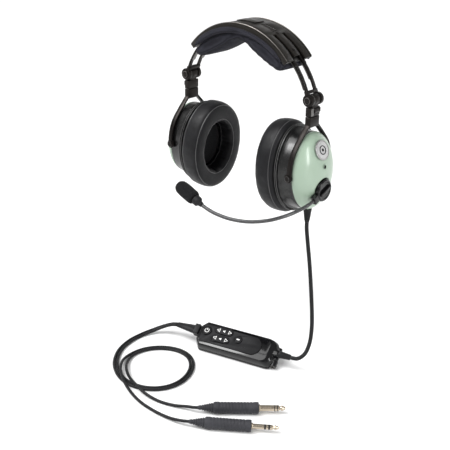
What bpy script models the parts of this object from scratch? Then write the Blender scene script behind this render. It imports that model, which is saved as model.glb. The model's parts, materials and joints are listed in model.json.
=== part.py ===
"""Aviation headset with a folding headband, a boom microphone, an inline control module and two plugs.

Frame: origin at the centre of the wearer's head, midway between the ear cup pivots. +Z is up, the wearer
faces -Y, and the wearer's left is +X. Lengths below are millimetres times MM, so everything is in metres.
"""

import math

import bmesh
import bpy
from mathutils import Matrix, Vector

MM = 0.001
GAP = 0.3 * MM

# Headband: rails and crown turn about one centre line, parallel to Y
ARC_Z = 53.9 * MM
RAIL_INNER = 90.7 * MM
RAIL_OUTER = 92.5 * MM
RAIL_HALF_WIDTH = 9.8 * MM
RAIL_SLOT_HALF = 5.2 * MM
RAIL_TOP_DEG = 8.0
RAIL_SLOT_DEG = (14.0, 68.0)
COVER_INNER = 92.9 * MM
COVER_OUTER_END = 94.6 * MM
COVER_CROWN_RISE = 2.5 * MM
COVER_END_DEG = 46.5
COVER_HALF_WIDTH = 22.0 * MM
LIP_INNER = 89.0 * MM
LIP_THICKNESS = 1.6 * MM
BAND_INNER = 89.1 * MM
BAND_OUTER = 90.3 * MM
BAND_HALF_WIDTH = 19.8 * MM
BAND_END_DEG = 46.0
RIVET_DEG = {"left": 36.0, "right": -36.0}
PAD_HALF_WIDTH = 19.6 * MM

# Fold hinge
HINGE_X = 88.8 * MM
HINGE_Z = 79.5 * MM
EAR_RADIUS = 6.8 * MM
EAR_INNER_Y = 5.6 * MM
BARREL_RADIUS = 6.2 * MM
PIN_RADIUS = 2.6 * MM
PIN_BORE = 3.0 * MM
PIN_HEAD_RADIUS = 4.2 * MM

# Link and yoke
BLOCK_THICK = 7.0 * MM
BLOCK_WIDTH = 17.0 * MM
LINK_TOP_Z = 71.8 * MM
LINK_BOTTOM_Z = 61.8 * MM
YOKE_TOP_Z = 61.4 * MM
YOKE_HEAD_BOTTOM_Z = 50.0 * MM
POST_RADIUS = 2.0 * MM
POST_BORE = 2.4 * MM
ARM_THICKNESS = 2.0 * MM
ARM_WIDTH = 5.6 * MM
PIVOT_X = 88.0 * MM
PIVOT_Y = 37.2 * MM
PIVOT_TAB_RADIUS = 5.0 * MM
SCREW_RADIUS = 1.8 * MM
SCREW_BORE = 2.2 * MM

# Ear cups: every section is an oval, this much narrower along Y than it is high
CUP_OVAL = 0.79
CUP_LEAN_DEG = 3.0
CUP_STEPS = 24

# Boom microphone on the left cup
BOOM_PIVOT_Y = 0.0
BOOM_PIVOT_Z = -18.0 * MM
BOOM_ARM_DEG = 202.6
BOOM_RADIUS = 2.0 * MM
MIC_START = (22.0, -100.5, -30.2)
MIC_END = (-15.0, -100.0, -15.4)

# Cords
TABLE_Z = -225.0 * MM
MAIN_CORD_RADIUS = 2.35 * MM
TWIN_CORD_RADIUS = 1.65 * MM
TWIN_OFFSET = 1.85 * MM

# Control module, lying on one facet of its boat-shaped underside
MODULE_CENTRE = (46.0, -69.5, -205.0)
MODULE_HEADING_DEG = 14.5
MODULE_ROLL_DEG = 30.0

# Routes of the free cords, in millimetres
MAIN_ROUTE = [
    (89.5, 0.0, -61.4), (90.3, -0.7, -70.0), (94.6, -3.0, -86.0), (100.6, -6.4, -106.0),
    (106.0, -9.8, -126.0), (111.0, -13.4, -145.0), (115.8, -17.2, -164.0), (119.6, -21.6, -180.0),
    (122.2, -27.8, -194.0), (122.4, -36.0, -204.5), (118.9, -44.6, -208.8), (112.0, -47.9, -209.2),
]
PAIR_ROUTE = [
    (-34.6, -83.7, -208.2), (-43.0, -86.0, -210.5), (-53.0, -90.5, -215.5), (-62.0, -99.0, -220.6),
    (-67.5, -113.0, -223.1), (-67.8, -132.0, -223.2), (-62.0, -153.0, -223.2), (-48.5, -172.5, -223.2),
    (-31.5, -185.5, -223.2), (-13.5, -192.0, -223.2), (3.0, -192.0, -223.2), (16.5, -187.3, -223.2),
    (28.0, -178.0, -223.2), (35.3, -164.5, -223.2), (36.6, -148.0, -223.2), (31.0, -130.5, -223.2),
    (20.0, -116.5, -223.2), (5.5, -108.5, -223.2), (-11.5, -108.5, -223.2), (-28.0, -117.0, -223.2),
    (-39.5, -131.0, -223.2), (-43.6, -147.5, -223.0),
]
LEG_A_ROUTE = [
    (-37.4, -162.5, -222.2), (-25.5, -177.0, -220.0), (-9.5, -187.6, -219.2), (7.5, -193.2, -219.2),
    (26.0, -195.6, -221.6), (45.0, -193.8, -223.2), (62.5, -188.8, -222.6), (76.0, -183.6, -220.2),
    (84.0, -181.2, -218.8), (88.2, -178.3, -218.5),
]
LEG_B_ROUTE = [
    (-42.6, -164.8, -222.0), (-31.0, -180.5, -219.6), (-14.0, -193.4, -219.2), (6.0, -202.2, -221.6),
    (29.0, -207.8, -223.2), (53.0, -209.2, -223.2), (73.0, -208.0, -222.2), (88.0, -205.8, -219.6),
    (97.6, -201.5, -218.5),
]
BOOM_ROUTE = [
    (109.0, -18.9, -25.9), (108.2, -30.0, -28.6), (105.8, -45.0, -30.9), (100.4, -59.0, -33.6),
    (90.0, -73.0, -36.8), (74.0, -85.0, -39.0), (56.0, -93.2, -38.6), (40.0, -97.8, -36.0),
    (30.0, -99.6, -33.2), (22.4, -100.5, -30.4),
]
PLUG_A = ((88.5, -178.0, -218.5), (0.749, 0.662, 0.0))
PLUG_B = ((97.9, -201.3, -218.5), (0.812, 0.583, 0.0))

COLOURS = {
    "dark_metal": ((0.045, 0.04, 0.036), 0.38, 0.7),
    "steel": ((0.35, 0.34, 0.33), 0.3, 1.0),
    "crown_plastic": ((0.05, 0.045, 0.038), 0.42, 0.0),
    "shell_plastic": ((0.018, 0.018, 0.02), 0.32, 0.0),
    "sage_paint": ((0.52, 0.64, 0.54), 0.35, 0.0),
    "badge": ((0.62, 0.62, 0.64), 0.35, 0.5),
    "leatherette": ((0.02, 0.02, 0.022), 0.5, 0.0),
    "pad_fabric": ((0.05, 0.05, 0.065), 0.95, 0.0),
    "foam": ((0.025, 0.025, 0.027), 0.98, 0.0),
    "boom": ((0.06, 0.06, 0.065), 0.45, 0.0),
    "rubber": ((0.03, 0.03, 0.032), 0.6, 0.0),
    "gloss_black": ((0.01, 0.01, 0.011), 0.12, 0.0),
    "board": ((0.03, 0.16, 0.07), 0.5, 0.0),
    "battery": ((0.5, 0.42, 0.15), 0.35, 0.8),
    "nickel": ((0.75, 0.7, 0.6), 0.2, 1.0),
}

LEFT = Matrix.Identity(4)
RIGHT = Matrix.Rotation(math.pi, 4, "Z")
SIDES = {"left": LEFT, "right": RIGHT}


def clear_scene():
    for old in list(bpy.data.objects):
        bpy.data.objects.remove(old, do_unlink=True)


def new_collection(name):
    collection = bpy.data.collections.new(name)
    bpy.context.scene.collection.children.link(collection)
    return collection


def material(name):
    if name in bpy.data.materials:
        return bpy.data.materials[name]
    colour, roughness, metallic = COLOURS[name]
    made = bpy.data.materials.new(name)
    made.use_nodes = True
    shader = made.node_tree.nodes["Principled BSDF"]
    shader.inputs["Base Color"].default_value = (*colour, 1.0)
    shader.inputs["Roughness"].default_value = roughness
    shader.inputs["Metallic"].default_value = metallic
    return made


def moved(mesh, matrix):
    """The mesh placed by a matrix, with its faces pointing out."""
    mesh.transform(matrix)
    work = bmesh.new()
    work.from_mesh(mesh)
    bmesh.ops.recalc_face_normals(work, faces=work.faces)
    work.to_mesh(mesh)
    work.free()
    return mesh


def evaluated(obj):
    """The final mesh of a temporary object, in world space, a curve's caps welded. The object is removed."""
    is_curve = obj.type == "CURVE"
    bpy.context.view_layer.update()
    graph = bpy.context.evaluated_depsgraph_get()
    mesh = bpy.data.meshes.new_from_object(obj.evaluated_get(graph))
    if is_curve:
        work = bmesh.new()
        work.from_mesh(mesh)
        bmesh.ops.remove_doubles(work, verts=work.verts, dist=0.002 * MM)
        work.to_mesh(mesh)
        work.free()
    matrix = obj.matrix_world.copy()
    bpy.data.objects.remove(obj, do_unlink=True)
    return moved(mesh, matrix)


def temporary(data, matrix=LEFT):
    obj = bpy.data.objects.new("helper", data)
    CUTTERS.objects.link(obj)
    obj.matrix_world = matrix
    obj.hide_render = True
    obj.display_type = "WIRE"
    return obj


def box(size, centre, matrix=LEFT, bevel=0.0):
    work = bmesh.new()
    bmesh.ops.create_cube(work, size=1.0)
    bmesh.ops.scale(work, vec=Vector(size), verts=work.verts)
    bmesh.ops.translate(work, vec=Vector(centre), verts=work.verts)
    if bevel:
        bmesh.ops.bevel(work, geom=work.edges[:], offset=bevel, segments=1, affect="EDGES")
    mesh = bpy.data.meshes.new("box")
    work.to_mesh(mesh)
    work.free()
    return moved(mesh, matrix)


def span(low, high, matrix=LEFT, bevel=0.0):
    """A box between two corners given in millimetres."""
    size = [(b - a) * MM for a, b in zip(low, high)]
    centre = [(a + b) / 2 * MM for a, b in zip(low, high)]
    return box(size, centre, matrix, bevel)


def axis_matrix(point, direction):
    """Local Z along direction, with the origin at point."""
    turn = Vector((0, 0, 1)).rotation_difference(Vector(direction).normalized())
    return Matrix.Translation(Vector(point)) @ turn.to_matrix().to_4x4()


def cylinder(radius, start, direction, length, steps=20):
    work = bmesh.new()
    bmesh.ops.create_cone(
        work, cap_ends=True, segments=steps, radius1=radius, radius2=radius, depth=length,
        matrix=Matrix.Translation((0, 0, length / 2)),
    )
    mesh = bpy.data.meshes.new("cylinder")
    work.to_mesh(mesh)
    work.free()
    return moved(mesh, axis_matrix(start, direction))


def turned(profile, matrix, steps=20, closed=False):
    """A profile of (radius, height) pairs in millimetres, turned about local Z."""
    mesh = bpy.data.meshes.new("turned")
    points = [(r * MM, 0.0, z * MM) for r, z in profile]
    edges = [(i, i + 1) for i in range(len(points) - 1)]
    if closed:
        edges.append((len(points) - 1, 0))
    mesh.from_pydata(points, edges, [])
    obj = temporary(mesh)
    screw = obj.modifiers.new("turn", "SCREW")
    screw.axis = "Z"
    screw.angle = math.tau
    screw.steps = steps
    screw.render_steps = steps
    screw.use_merge_vertices = True
    screw.merge_threshold = 0.01 * MM
    return moved(evaluated(obj), matrix)


def plate(outline, half_depth, matrix):
    """A flat outline in metres, extruded both ways along local Z."""
    curve = bpy.data.curves.new("plate", "CURVE")
    curve.dimensions = "2D"
    curve.fill_mode = "BOTH"
    curve.extrude = half_depth
    spline = curve.splines.new("POLY")
    spline.points.add(len(outline) - 1)
    for point, (x, y) in zip(spline.points, outline):
        point.co = (x, y, 0.0, 1.0)
    spline.use_cyclic_u = True
    return moved(evaluated(temporary(curve)), matrix)


# Local X, Y, Z of an outline become world X, Z, -Y
UPRIGHT = Matrix.Rotation(math.pi / 2, 4, "X")
# Local X, Y, Z of an outline become world Y, Z, X
FACING_OUT = Matrix(((0, 0, 1, 0), (1, 0, 0, 0), (0, 1, 0, 0), (0, 0, 0, 1)))


def on_arc(radius, degrees):
    angle = math.radians(degrees)
    return radius * math.sin(angle), ARC_Z + radius * math.cos(angle)


def arc_plate(inner, outer, start, end, y_low, y_high, steps=16):
    """A curved strip of the headband. inner and outer are radii, or functions of the angle."""
    inner_at = inner if callable(inner) else lambda degrees: inner
    outer_at = outer if callable(outer) else lambda degrees: outer
    angles = [start + (end - start) * i / steps for i in range(steps + 1)]
    outline = [on_arc(outer_at(a), a) for a in angles]
    outline += [on_arc(inner_at(a), a) for a in reversed(angles)]
    middle = Matrix.Translation((0, (y_low + y_high) / 2, 0))
    return plate(outline, (y_high - y_low) / 2, middle @ UPRIGHT)


def combined(base, others, operation):
    """The base mesh after an exact Boolean with each of the others."""
    obj = temporary(base)
    helpers = [temporary(other) for other in others]
    for helper in helpers:
        modifier = obj.modifiers.new(operation.lower(), "BOOLEAN")
        modifier.operation = operation
        modifier.solver = "EXACT"
        modifier.object = helper
    mesh = evaluated(obj)
    for helper in helpers:
        bpy.data.objects.remove(helper, do_unlink=True)
    return mesh


def joined(base, *others):
    return combined(base, others, "UNION")


def cut(base, *others):
    return combined(base, others, "DIFFERENCE")


def smooth_route(points, step):
    """Points every step metres along a Catmull-Rom curve through points given in millimetres."""
    knots = [Vector(p) * MM for p in points]
    knots = [2 * knots[0] - knots[1]] + knots + [2 * knots[-1] - knots[-2]]
    dense = []
    for a, b, c, d in zip(knots, knots[1:], knots[2:], knots[3:]):
        for i in range(24):
            t = i / 24
            dense.append(
                0.5 * ((2 * b) + (c - a) * t + (2 * a - 5 * b + 4 * c - d) * t**2
                       + (3 * b - a - 3 * c + d) * t**3)
            )
    dense.append(knots[-2])
    lengths = [0.0]
    for a, b in zip(dense, dense[1:]):
        lengths.append(lengths[-1] + (b - a).length)
    count = max(2, round(lengths[-1] / step))
    route, at = [], 0
    for i in range(count + 1):
        wanted = lengths[-1] * i / count
        while at < len(dense) - 2 and lengths[at + 1] < wanted:
            at += 1
        part = (wanted - lengths[at]) / (lengths[at + 1] - lengths[at])
        route.append(dense[at].lerp(dense[at + 1], min(part, 1.0)))
    return route


def tube(route, radius, resolution=2):
    curve = bpy.data.curves.new("tube", "CURVE")
    curve.dimensions = "3D"
    curve.bevel_depth = radius
    curve.bevel_resolution = resolution
    curve.use_fill_caps = True
    spline = curve.splines.new("POLY")
    spline.points.add(len(route) - 1)
    for point, place in zip(spline.points, route):
        point.co = (*place, 1.0)
    return evaluated(temporary(curve))


def beside(points, offset):
    """A flat parallel of a route given in millimetres, offset to its left in metres."""
    shifted = []
    for i, point in enumerate(points):
        before = Vector(points[max(i - 1, 0)])
        after = Vector(points[min(i + 1, len(points) - 1)])
        along = (after - before).normalized()
        left = Vector((-along.y, along.x, 0.0)).normalized() * (offset / MM)
        shifted.append(tuple(Vector(point) + left))
    return shifted


def joint_empty(name, place):
    empty = bpy.data.objects.new(name, None)
    PARTS.objects.link(empty)
    empty.location = Vector(place)
    empty.empty_display_size = 0.01
    return empty


def piece(name, mesh, look, parent=None, matrix=LEFT):
    """Adds a finished mesh to the headset, under the empty of the joint it turns or slides on."""
    obj = bpy.data.objects.new(name, mesh)
    PARTS.objects.link(obj)
    mesh.materials.clear()
    mesh.materials.append(material(look))
    mesh.shade_smooth()
    mesh.set_sharp_from_angle(angle=math.radians(32))
    if parent is not None:
        bpy.context.view_layer.update()
        obj.parent = parent
        obj.matrix_parent_inverse = parent.matrix_world.inverted()
    obj.matrix_basis = matrix
    return obj


# ---------------------------------------------------------------- headband


def cover_outer(degrees):
    return COVER_OUTER_END + COVER_CROWN_RISE * math.cos(math.radians(degrees * 90 / COVER_END_DEG))


def crown_cover():
    """A channel: the outer plate, with a lip down its front and rear edges."""
    cover = arc_plate(LIP_INNER, cover_outer, -COVER_END_DEG, COVER_END_DEG,
                      -COVER_HALF_WIDTH, COVER_HALF_WIDTH, 22)
    inside = COVER_HALF_WIDTH - LIP_THICKNESS
    cover = cut(cover, arc_plate(80 * MM, COVER_INNER, -54, 54, -inside, inside, 24))
    slots = []
    for side in (-1, 1):
        for edge in (-1, 1):
            low, high = sorted((edge * 4.8 * MM, edge * 10.2 * MM))
            slots.append(arc_plate(0.09, 0.1, side * 24, side * 50, low, high, 5))
        slots.append(arc_plate(0.09, 0.1, side * 43.5, side * 50, -7 * MM, 7 * MM, 2))
        slots.append(arc_plate(96.0 * MM, 0.1, side * 10.5, side * 21, -4.2 * MM, 4.2 * MM, 4))
    return cut(cover, *slots)


def spring_band():
    band = arc_plate(BAND_INNER, BAND_OUTER, -BAND_END_DEG, BAND_END_DEG,
                     -BAND_HALF_WIDTH, BAND_HALF_WIDTH, 20)
    prongs = []
    for side, edge, end in ((1, -1, 66.5), (1, 1, 60.5), (-1, 1, 60.5), (-1, -1, 60.5)):
        low, high = sorted((edge * 5.6 * MM, edge * 9.6 * MM))
        prongs.append(arc_plate(BAND_INNER, BAND_OUTER, side * 44, side * end, low, high, 4))
    band = joined(band, *prongs)
    holes = [rivet_bore(angle) for angle in RIVET_DEG.values()]
    return cut(band, *holes)


def outward(degrees):
    return Vector((math.sin(math.radians(degrees)), 0, math.cos(math.radians(degrees))))


def rivet_bore(degrees):
    x, z = on_arc(86 * MM, degrees)
    return cylinder(1.7 * MM, (x, 0, z), outward(degrees), 8 * MM, 14)


def crown_rivet(degrees):
    """It passes through the slot between a hanger's rails, and stops the hanger from pulling out."""
    x, z = on_arc(88.9 * MM, degrees)
    profile = [(0, 0), (1.3, 0), (1.3, 1.8), (2.4, 1.8), (2.4, 3.6), (0, 3.6)]
    return turned(profile, axis_matrix((x, 0, z), outward(degrees)), 12)


def crown_cap():
    return arc_plate(97.4 * MM, 98.3 * MM, -7.5, 7.5, -8 * MM, 8 * MM, 6)


def head_pad():
    """Two lobes that hang under the band, with a valley between them."""
    top = [on_arc(88.7 * MM, 45 - 90 * i / 16) for i in range(17)]
    lobe = [(64.8, 113.4), (61.0, 111.6), (55.0, 112.0), (44.0, 115.5), (32.0, 120.5), (20.0, 126.0), (8.0, 131.0)]
    left = [(-x * MM, z * MM) for x, z in lobe]
    right = [(x * MM, z * MM) for x, z in reversed(lobe)]
    outline = top + left + [(0.0, 132.5 * MM)] + right
    return plate(outline, PAD_HALF_WIDTH, UPRIGHT)


def hanger():
    rails = arc_plate(RAIL_INNER, RAIL_OUTER, RAIL_TOP_DEG, 73, -RAIL_HALF_WIDTH, RAIL_HALF_WIDTH, 13)
    slot = arc_plate(88 * MM, 95 * MM, *RAIL_SLOT_DEG, -RAIL_SLOT_HALF, RAIL_SLOT_HALF, 10)
    ears = []
    for side in (-1, 1):
        start = (HINGE_X, side * EAR_INNER_Y, HINGE_Z)
        ears.append(cylinder(EAR_RADIUS, start, (0, side, 0), RAIL_HALF_WIDTH - EAR_INNER_Y, 16))
    bar = arc_plate(RAIL_INNER - 0.8 * MM, RAIL_OUTER + 0.8 * MM, 67.5, 71, -RAIL_HALF_WIDTH,
                    RAIL_HALF_WIDTH, 3)
    room = cylinder(BARREL_RADIUS + 0.7 * MM, (HINGE_X, -EAR_INNER_Y, HINGE_Z), (0, 1, 0),
                    2 * EAR_INNER_Y, 16)
    bore = cylinder(PIN_BORE, (HINGE_X, -12 * MM, HINGE_Z), (0, 1, 0), 24 * MM, 12)
    body = cut(rails, slot)
    body = joined(body, bar)
    body = cut(body, room)
    body = joined(body, *ears)
    return cut(body, bore)


def hinge_pin():
    reach = 11.4
    rim = PIN_HEAD_RADIUS / MM
    shank = PIN_RADIUS / MM
    face = RAIL_HALF_WIDTH / MM + 0.3
    profile = [(0, -reach), (rim - 0.8, -reach), (rim, -reach + 0.6), (rim, -face), (shank, -face),
               (shank, face), (rim, face), (rim, reach - 0.6), (rim - 0.8, reach), (0, reach)]
    return turned(profile, axis_matrix((HINGE_X, 0, HINGE_Z), (0, 1, 0)), 12)


# ---------------------------------------------------------------- link and yoke


def link():
    x0 = (HINGE_X - BLOCK_THICK / 2) / MM
    x1 = (HINGE_X + BLOCK_THICK / 2) / MM
    half = BLOCK_WIDTH / 2 / MM
    block = span((x0, -half, LINK_BOTTOM_Z / MM), (x1, half, LINK_TOP_Z / MM), bevel=0.6 * MM)
    neck = span((x0 + 0.4, -5.1, 70), (x1 - 0.4, 5.1, HINGE_Z / MM))
    barrel = cylinder(BARREL_RADIUS, (HINGE_X, -5.2 * MM, HINGE_Z), (0, 1, 0), 10.4 * MM, 16)
    clip = span((x1 - 1, -2, 65.6), (x1 + 1.1, 8.1, 70.4), bevel=0.3 * MM)
    body = joined(block, neck, barrel, clip)
    pin_bore = cylinder(PIN_BORE, (HINGE_X, -12 * MM, HINGE_Z), (0, 1, 0), 24 * MM, 12)
    post_bore = cylinder(POST_BORE, (HINGE_X, 0, 55 * MM), (0, 0, 1), 15 * MM, 12)
    return cut(body, pin_bore, post_bore)


def arm_outline():
    """One flat strip from the yoke's head to its pivot, in the plane of Y and Z."""
    centre = [(p.x, p.y) for p in smooth_route(
        [(6.5, 53.0, 0), (19.5, 39.8, 0), (30.2, 27.5, 0), (35.2, 15.5, 0), (37.0, 5.0, 0), (37.2, 0.0, 0)],
        7 * MM)]
    outer, inner = [], []
    for i, (y, z) in enumerate(centre):
        before = centre[max(i - 1, 0)]
        after = centre[min(i + 1, len(centre) - 1)]
        along = Vector((after[0] - before[0], after[1] - before[1])).normalized()
        side = Vector((-along.y, along.x)) * ARM_THICKNESS / 2
        outer.append((y + side.x, z + side.y))
        inner.append((y - side.x, z - side.y))
    return outer + inner[::-1]


def yoke():
    x0 = (HINGE_X - BLOCK_THICK / 2) / MM
    x1 = (HINGE_X + BLOCK_THICK / 2) / MM
    half = BLOCK_WIDTH / 2 / MM
    body = span((x0, -half, YOKE_HEAD_BOTTOM_Z / MM), (x1, half, YOKE_TOP_Z / MM), bevel=0.6 * MM)
    post = cylinder(POST_RADIUS, (HINGE_X, 0, 60 * MM), (0, 0, 1), 9 * MM, 12)
    arms, bores = [], []
    for side in (-1, 1):
        outline = [(side * y, z) for y, z in arm_outline()]
        middle = Matrix.Translation((PIVOT_X + 0.7 * MM, 0, 0))
        arms.append(plate(outline, ARM_WIDTH / 2, middle @ FACING_OUT))
        start = (PIVOT_X, side * (PIVOT_Y - ARM_THICKNESS / 2), 0)
        arms.append(cylinder(PIVOT_TAB_RADIUS, start, (0, side, 0), ARM_THICKNESS, 14))
        bores.append(cylinder(SCREW_BORE, (PIVOT_X, side * 30 * MM, 0), (0, side, 0), 15 * MM, 10))
    body = joined(body, post, *arms)
    return cut(body, *bores)


def pivot_screw(facing):
    """facing is -1 for the front arm's screw and 1 for the rear arm's."""
    profile = [(0, 0), (1.8, 0), (1.8, 4.9), (3.3, 4.9), (3.3, 6.0), (2.6, 6.6), (0, 6.6)]
    start = (PIVOT_X, facing * 33.6 * MM, 0)
    return turned(profile, axis_matrix(start, (0, facing, 0)), 10)


# ---------------------------------------------------------------- ear cups

# Local Z points out of the ear, local X is up, and sections are squeezed along Y
CUP_AXES = Matrix(((0, 0, 1, 0), (0, -1, 0, 0), (1, 0, 0, 0), (0, 0, 0, 1)))
CUP_PLACE = Matrix.Translation((PIVOT_X, 0, 0)) @ Matrix.Rotation(math.radians(-CUP_LEAN_DEG), 4, "Y")
CUP = CUP_PLACE @ CUP_AXES @ Matrix.Diagonal((1, CUP_OVAL, 1, 1))
CUP_ROUND = CUP_PLACE @ CUP_AXES

SEAL = [(29.6, -38.5), (31.5, -42.6), (36.5, -44.2), (44.0, -44.2), (49.2, -42.2), (52.0, -37.0), (52.3, -28.0),
        (51.0, -22.0), (48.6, -19.0), (34.0, -19.0), (31.0, -22.0), (29.6, -29.0)]
SEAL_PLATE = [(33.2, -18.6), (48.8, -18.6), (49.4, -17.2), (47.6, -16.5), (49.2, -15.6), (49.0, -14.6),
              (33.2, -14.6)]
SHELL = [(33.2, -14.2), (47.2, -14.2), (45.6, -12.6), (45.0, -9.0), (44.2, -3.0), (43.9, 1.6), (42.0, 1.6),
         (42.2, -3.0), (42.6, -11.6), (33.2, -11.6)]
DOME = [(0, 19.2), (9.5, 18.6), (19.5, 16.4), (29.0, 12.6), (36.5, 8.2), (40.4, 4.6), (41.2, 2.0), (43.6, 2.0),
        (43.8, 4.0), (42.3, 7.2), (38.4, 11.2), (31.0, 15.6), (21.0, 18.9), (10.0, 20.6), (0, 21.2)]
BAFFLE = [(0, -18.2), (32.8, -18.2), (32.8, -15.4), (0, -15.4)]
DRIVER = [(0, -19.4), (14.0, -19.4), (14.0, -15.0), (17.0, -15.0), (17.0, -12.0), (10.0, -10.0), (10.0, -6.0),
          (0, -6.0)]
EAR_FOAM = [(0, -24.0), (29.0, -24.0), (29.0, -20.0), (0, -20.0)]
KNOB_SEAT_X = 105.9 * MM


def cup_part(profile, closed=True, steps=CUP_STEPS, place=None):
    return turned(profile, place or CUP, steps, closed)


def cup_shell():
    shell = cup_part(SHELL)
    bores = cylinder(SCREW_BORE, (PIVOT_X, -45 * MM, 0), (0, 1, 0), 90 * MM, 10)
    return cut(shell, bores)


def left_shell():
    """The left shell also carries the boss that the cord's strain relief grows out of."""
    boss = turned([(0, -44.6), (5.0, -44.6), (5.6, -38.0), (0, -38.0)],
                  Matrix.Translation((84.6 * MM, 0, 0)), 16)
    return joined(cup_shell(), boss)


def left_dome():
    seat = cylinder(14.2 * MM, (KNOB_SEAT_X, BOOM_PIVOT_Y, BOOM_PIVOT_Z), (1, 0, 0), 12 * MM, 20)
    return cut(cup_part(DOME, closed=False), seat)


def baffle():
    hole = cylinder(14.6 * MM, CUP_ROUND @ Vector((0, 0, -25 * MM)), CUP_ROUND.to_3x3() @ Vector((0, 0, 1)),
                    20 * MM, 16)
    return cut(cup_part(BAFFLE, closed=False), hole)


def badge():
    """A plain disc that follows the slope of the dome."""
    slope = Vector((0.93, -0.03, 0.365)).normalized()
    place = axis_matrix((104.4 * MM, -1 * MM, 26.9 * MM), slope)
    return turned([(0, 0), (10.4, -0.5), (11.2, 0.2), (10.6, 1.0), (0, 1.4)], place, 18)


def build_cup(side, empty):
    turn = SIDES[side]
    left = side == "left"
    piece(side + "_cup_shell", left_shell() if left else cup_shell(), "shell_plastic", empty, turn)
    piece(side + "_seal_plate", cup_part(SEAL_PLATE), "shell_plastic", empty, turn)
    piece(side + "_dome", left_dome() if left else cup_part(DOME, closed=False), "sage_paint", empty, turn)
    piece(side + "_ear_seal", cup_part(SEAL), "leatherette", empty, turn)
    piece(side + "_baffle", baffle(), "shell_plastic", empty, turn)
    piece(side + "_driver", turned(DRIVER, CUP_ROUND, 14), "dark_metal", empty, turn)
    piece(side + "_ear_foam", cup_part(EAR_FOAM, False, 16), "foam", empty, turn)
    piece(side + "_badge", badge(), "badge", empty, turn)


# ---------------------------------------------------------------- boom microphone


def arm_point(reach, x):
    angle = math.radians(BOOM_ARM_DEG)
    return Vector((x * MM, reach * MM * math.cos(angle), BOOM_PIVOT_Z + reach * MM * math.sin(angle)))


def boom_socket():
    """The hub that turns under the knob, with the block that grips the boom."""
    centre = (106.2 * MM, BOOM_PIVOT_Y, BOOM_PIVOT_Z)
    hub = cylinder(12.2 * MM, centre, (1, 0, 0), 2.5 * MM, 20)
    turn = Matrix.Translation((0, BOOM_PIVOT_Y, BOOM_PIVOT_Z)) @ Matrix.Rotation(
        math.radians(BOOM_ARM_DEG), 4, "X")
    arm = span((106.2, 4, -4.2), (108.7, 18, 4.2), turn)
    block = span((106.2, 13.4, -4.6), (112.0, 20.2, 4.6), turn, 0.5 * MM)
    return joined(hub, arm, block)


def boom_knob():
    centre = axis_matrix((109.0 * MM, BOOM_PIVOT_Y, BOOM_PIVOT_Z), (1, 0, 0))
    knob = turned([(0, 0), (12.4, 0), (12.6, 1.0), (11.4, 2.6), (0, 3.2)], centre, 20)
    turn = Matrix.Translation((0, BOOM_PIVOT_Y, BOOM_PIVOT_Z)) @ Matrix.Rotation(
        math.radians(BOOM_ARM_DEG), 4, "X")
    grip = span((110.0, -9.5, -1.6), (113.6, 9.5, 1.6), turn, 0.4 * MM)
    return joined(knob, grip)


def mic_axis():
    start = Vector(MIC_START) * MM
    return axis_matrix(start, Vector(MIC_END) - Vector(MIC_START))


def mic_body():
    profile = [(0, 0.6), (2.8, 0.6), (3.2, 5.0), (5.4, 6.0), (5.6, 11.0), (4.2, 12.0), (4.2, 27.0), (0, 27.0)]
    return turned(profile, mic_axis(), 18)


def windscreen():
    profile = [(4.6, 12.4), (6.6, 12.4), (7.8, 16.0), (8.0, 30.0), (6.8, 36.0), (4.0, 39.0), (0, 40.0), (0, 28.0),
               (4.6, 28.0)]
    return turned(profile, mic_axis(), 20, closed=True)


# ---------------------------------------------------------------- cords and control module

MODULE = (
    Matrix.Translation(Vector(MODULE_CENTRE) * MM)
    @ Matrix.Rotation(math.radians(MODULE_HEADING_DEG), 4, "Z")
    @ Matrix.Rotation(math.radians(MODULE_ROLL_DEG), 4, "X")
)
MODULE_X = MODULE.to_3x3() @ Vector((1, 0, 0))
KNUCKLE_X = 51.0
KNUCKLE_Z = -10.4
KNUCKLE_RADIUS = 2.8 * MM
DOOR_PIN_BORE = 1.4 * MM
BOOT_Y = 1.7
BOOT_Z = -5.8
POWER_KEY = (-38.5, 3.3, 5.6)
ROUND_KEY = (3.1, 2.2, 4.6)
ROCKERS = {"earphone_volume_rocker": (-17.2, 7.6), "phone_volume_rocker": (-17.8, -3.2)}
ROCKER_HALF_LENGTH = 11.0
ROCKER_HALF_WIDTH = 4.2


def at_module(x, y, z):
    return MODULE @ (Vector((x, y, z)) * MM)


def frustum(top, bottom, bevel=0.0):
    """A block with four sloping sides: top and bottom are (x low, x high, half width, z) in millimetres."""
    work = bmesh.new()
    bmesh.ops.create_cube(work, size=2.0)
    for vertex in work.verts:
        x_low, x_high, half, z = top if vertex.co.z > 0 else bottom
        x = x_high if vertex.co.x > 0 else x_low
        y = half if vertex.co.y > 0 else -half
        vertex.co = Vector((x, y, z)) * MM
    if bevel:
        bmesh.ops.bevel(work, geom=work.edges[:], offset=bevel * MM, segments=2, affect="EDGES")
    mesh = bpy.data.meshes.new("frustum")
    work.to_mesh(mesh)
    work.free()
    return moved(mesh, MODULE)


def module_housing():
    body = frustum((-47.5, 44.5, 15.2, 0), (-50, 47.6, 17, -9.2), 1.2)
    cavity = span((-45, -12, -12), (45, 12, -3.2), MODULE)
    gland = span((43.3, -2.5, -9.0), (54, 5.6, -1.5), MODULE)
    lug = span((46.5, -5.7, -12.3), (51, 5.7, -8.3), MODULE)
    knuckle = cylinder(KNUCKLE_RADIUS, at_module(KNUCKLE_X, -6, KNUCKLE_Z), MODULE.to_3x3() @ Vector((0, 1, 0)),
                       12 * MM, 14)
    bore = cylinder(DOOR_PIN_BORE, at_module(KNUCKLE_X, -20, KNUCKLE_Z), MODULE.to_3x3() @ Vector((0, 1, 0)),
                    40 * MM, 12)
    body = joined(cut(body, cavity), gland, lug, knuckle)
    return cut(body, bore)


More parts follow.
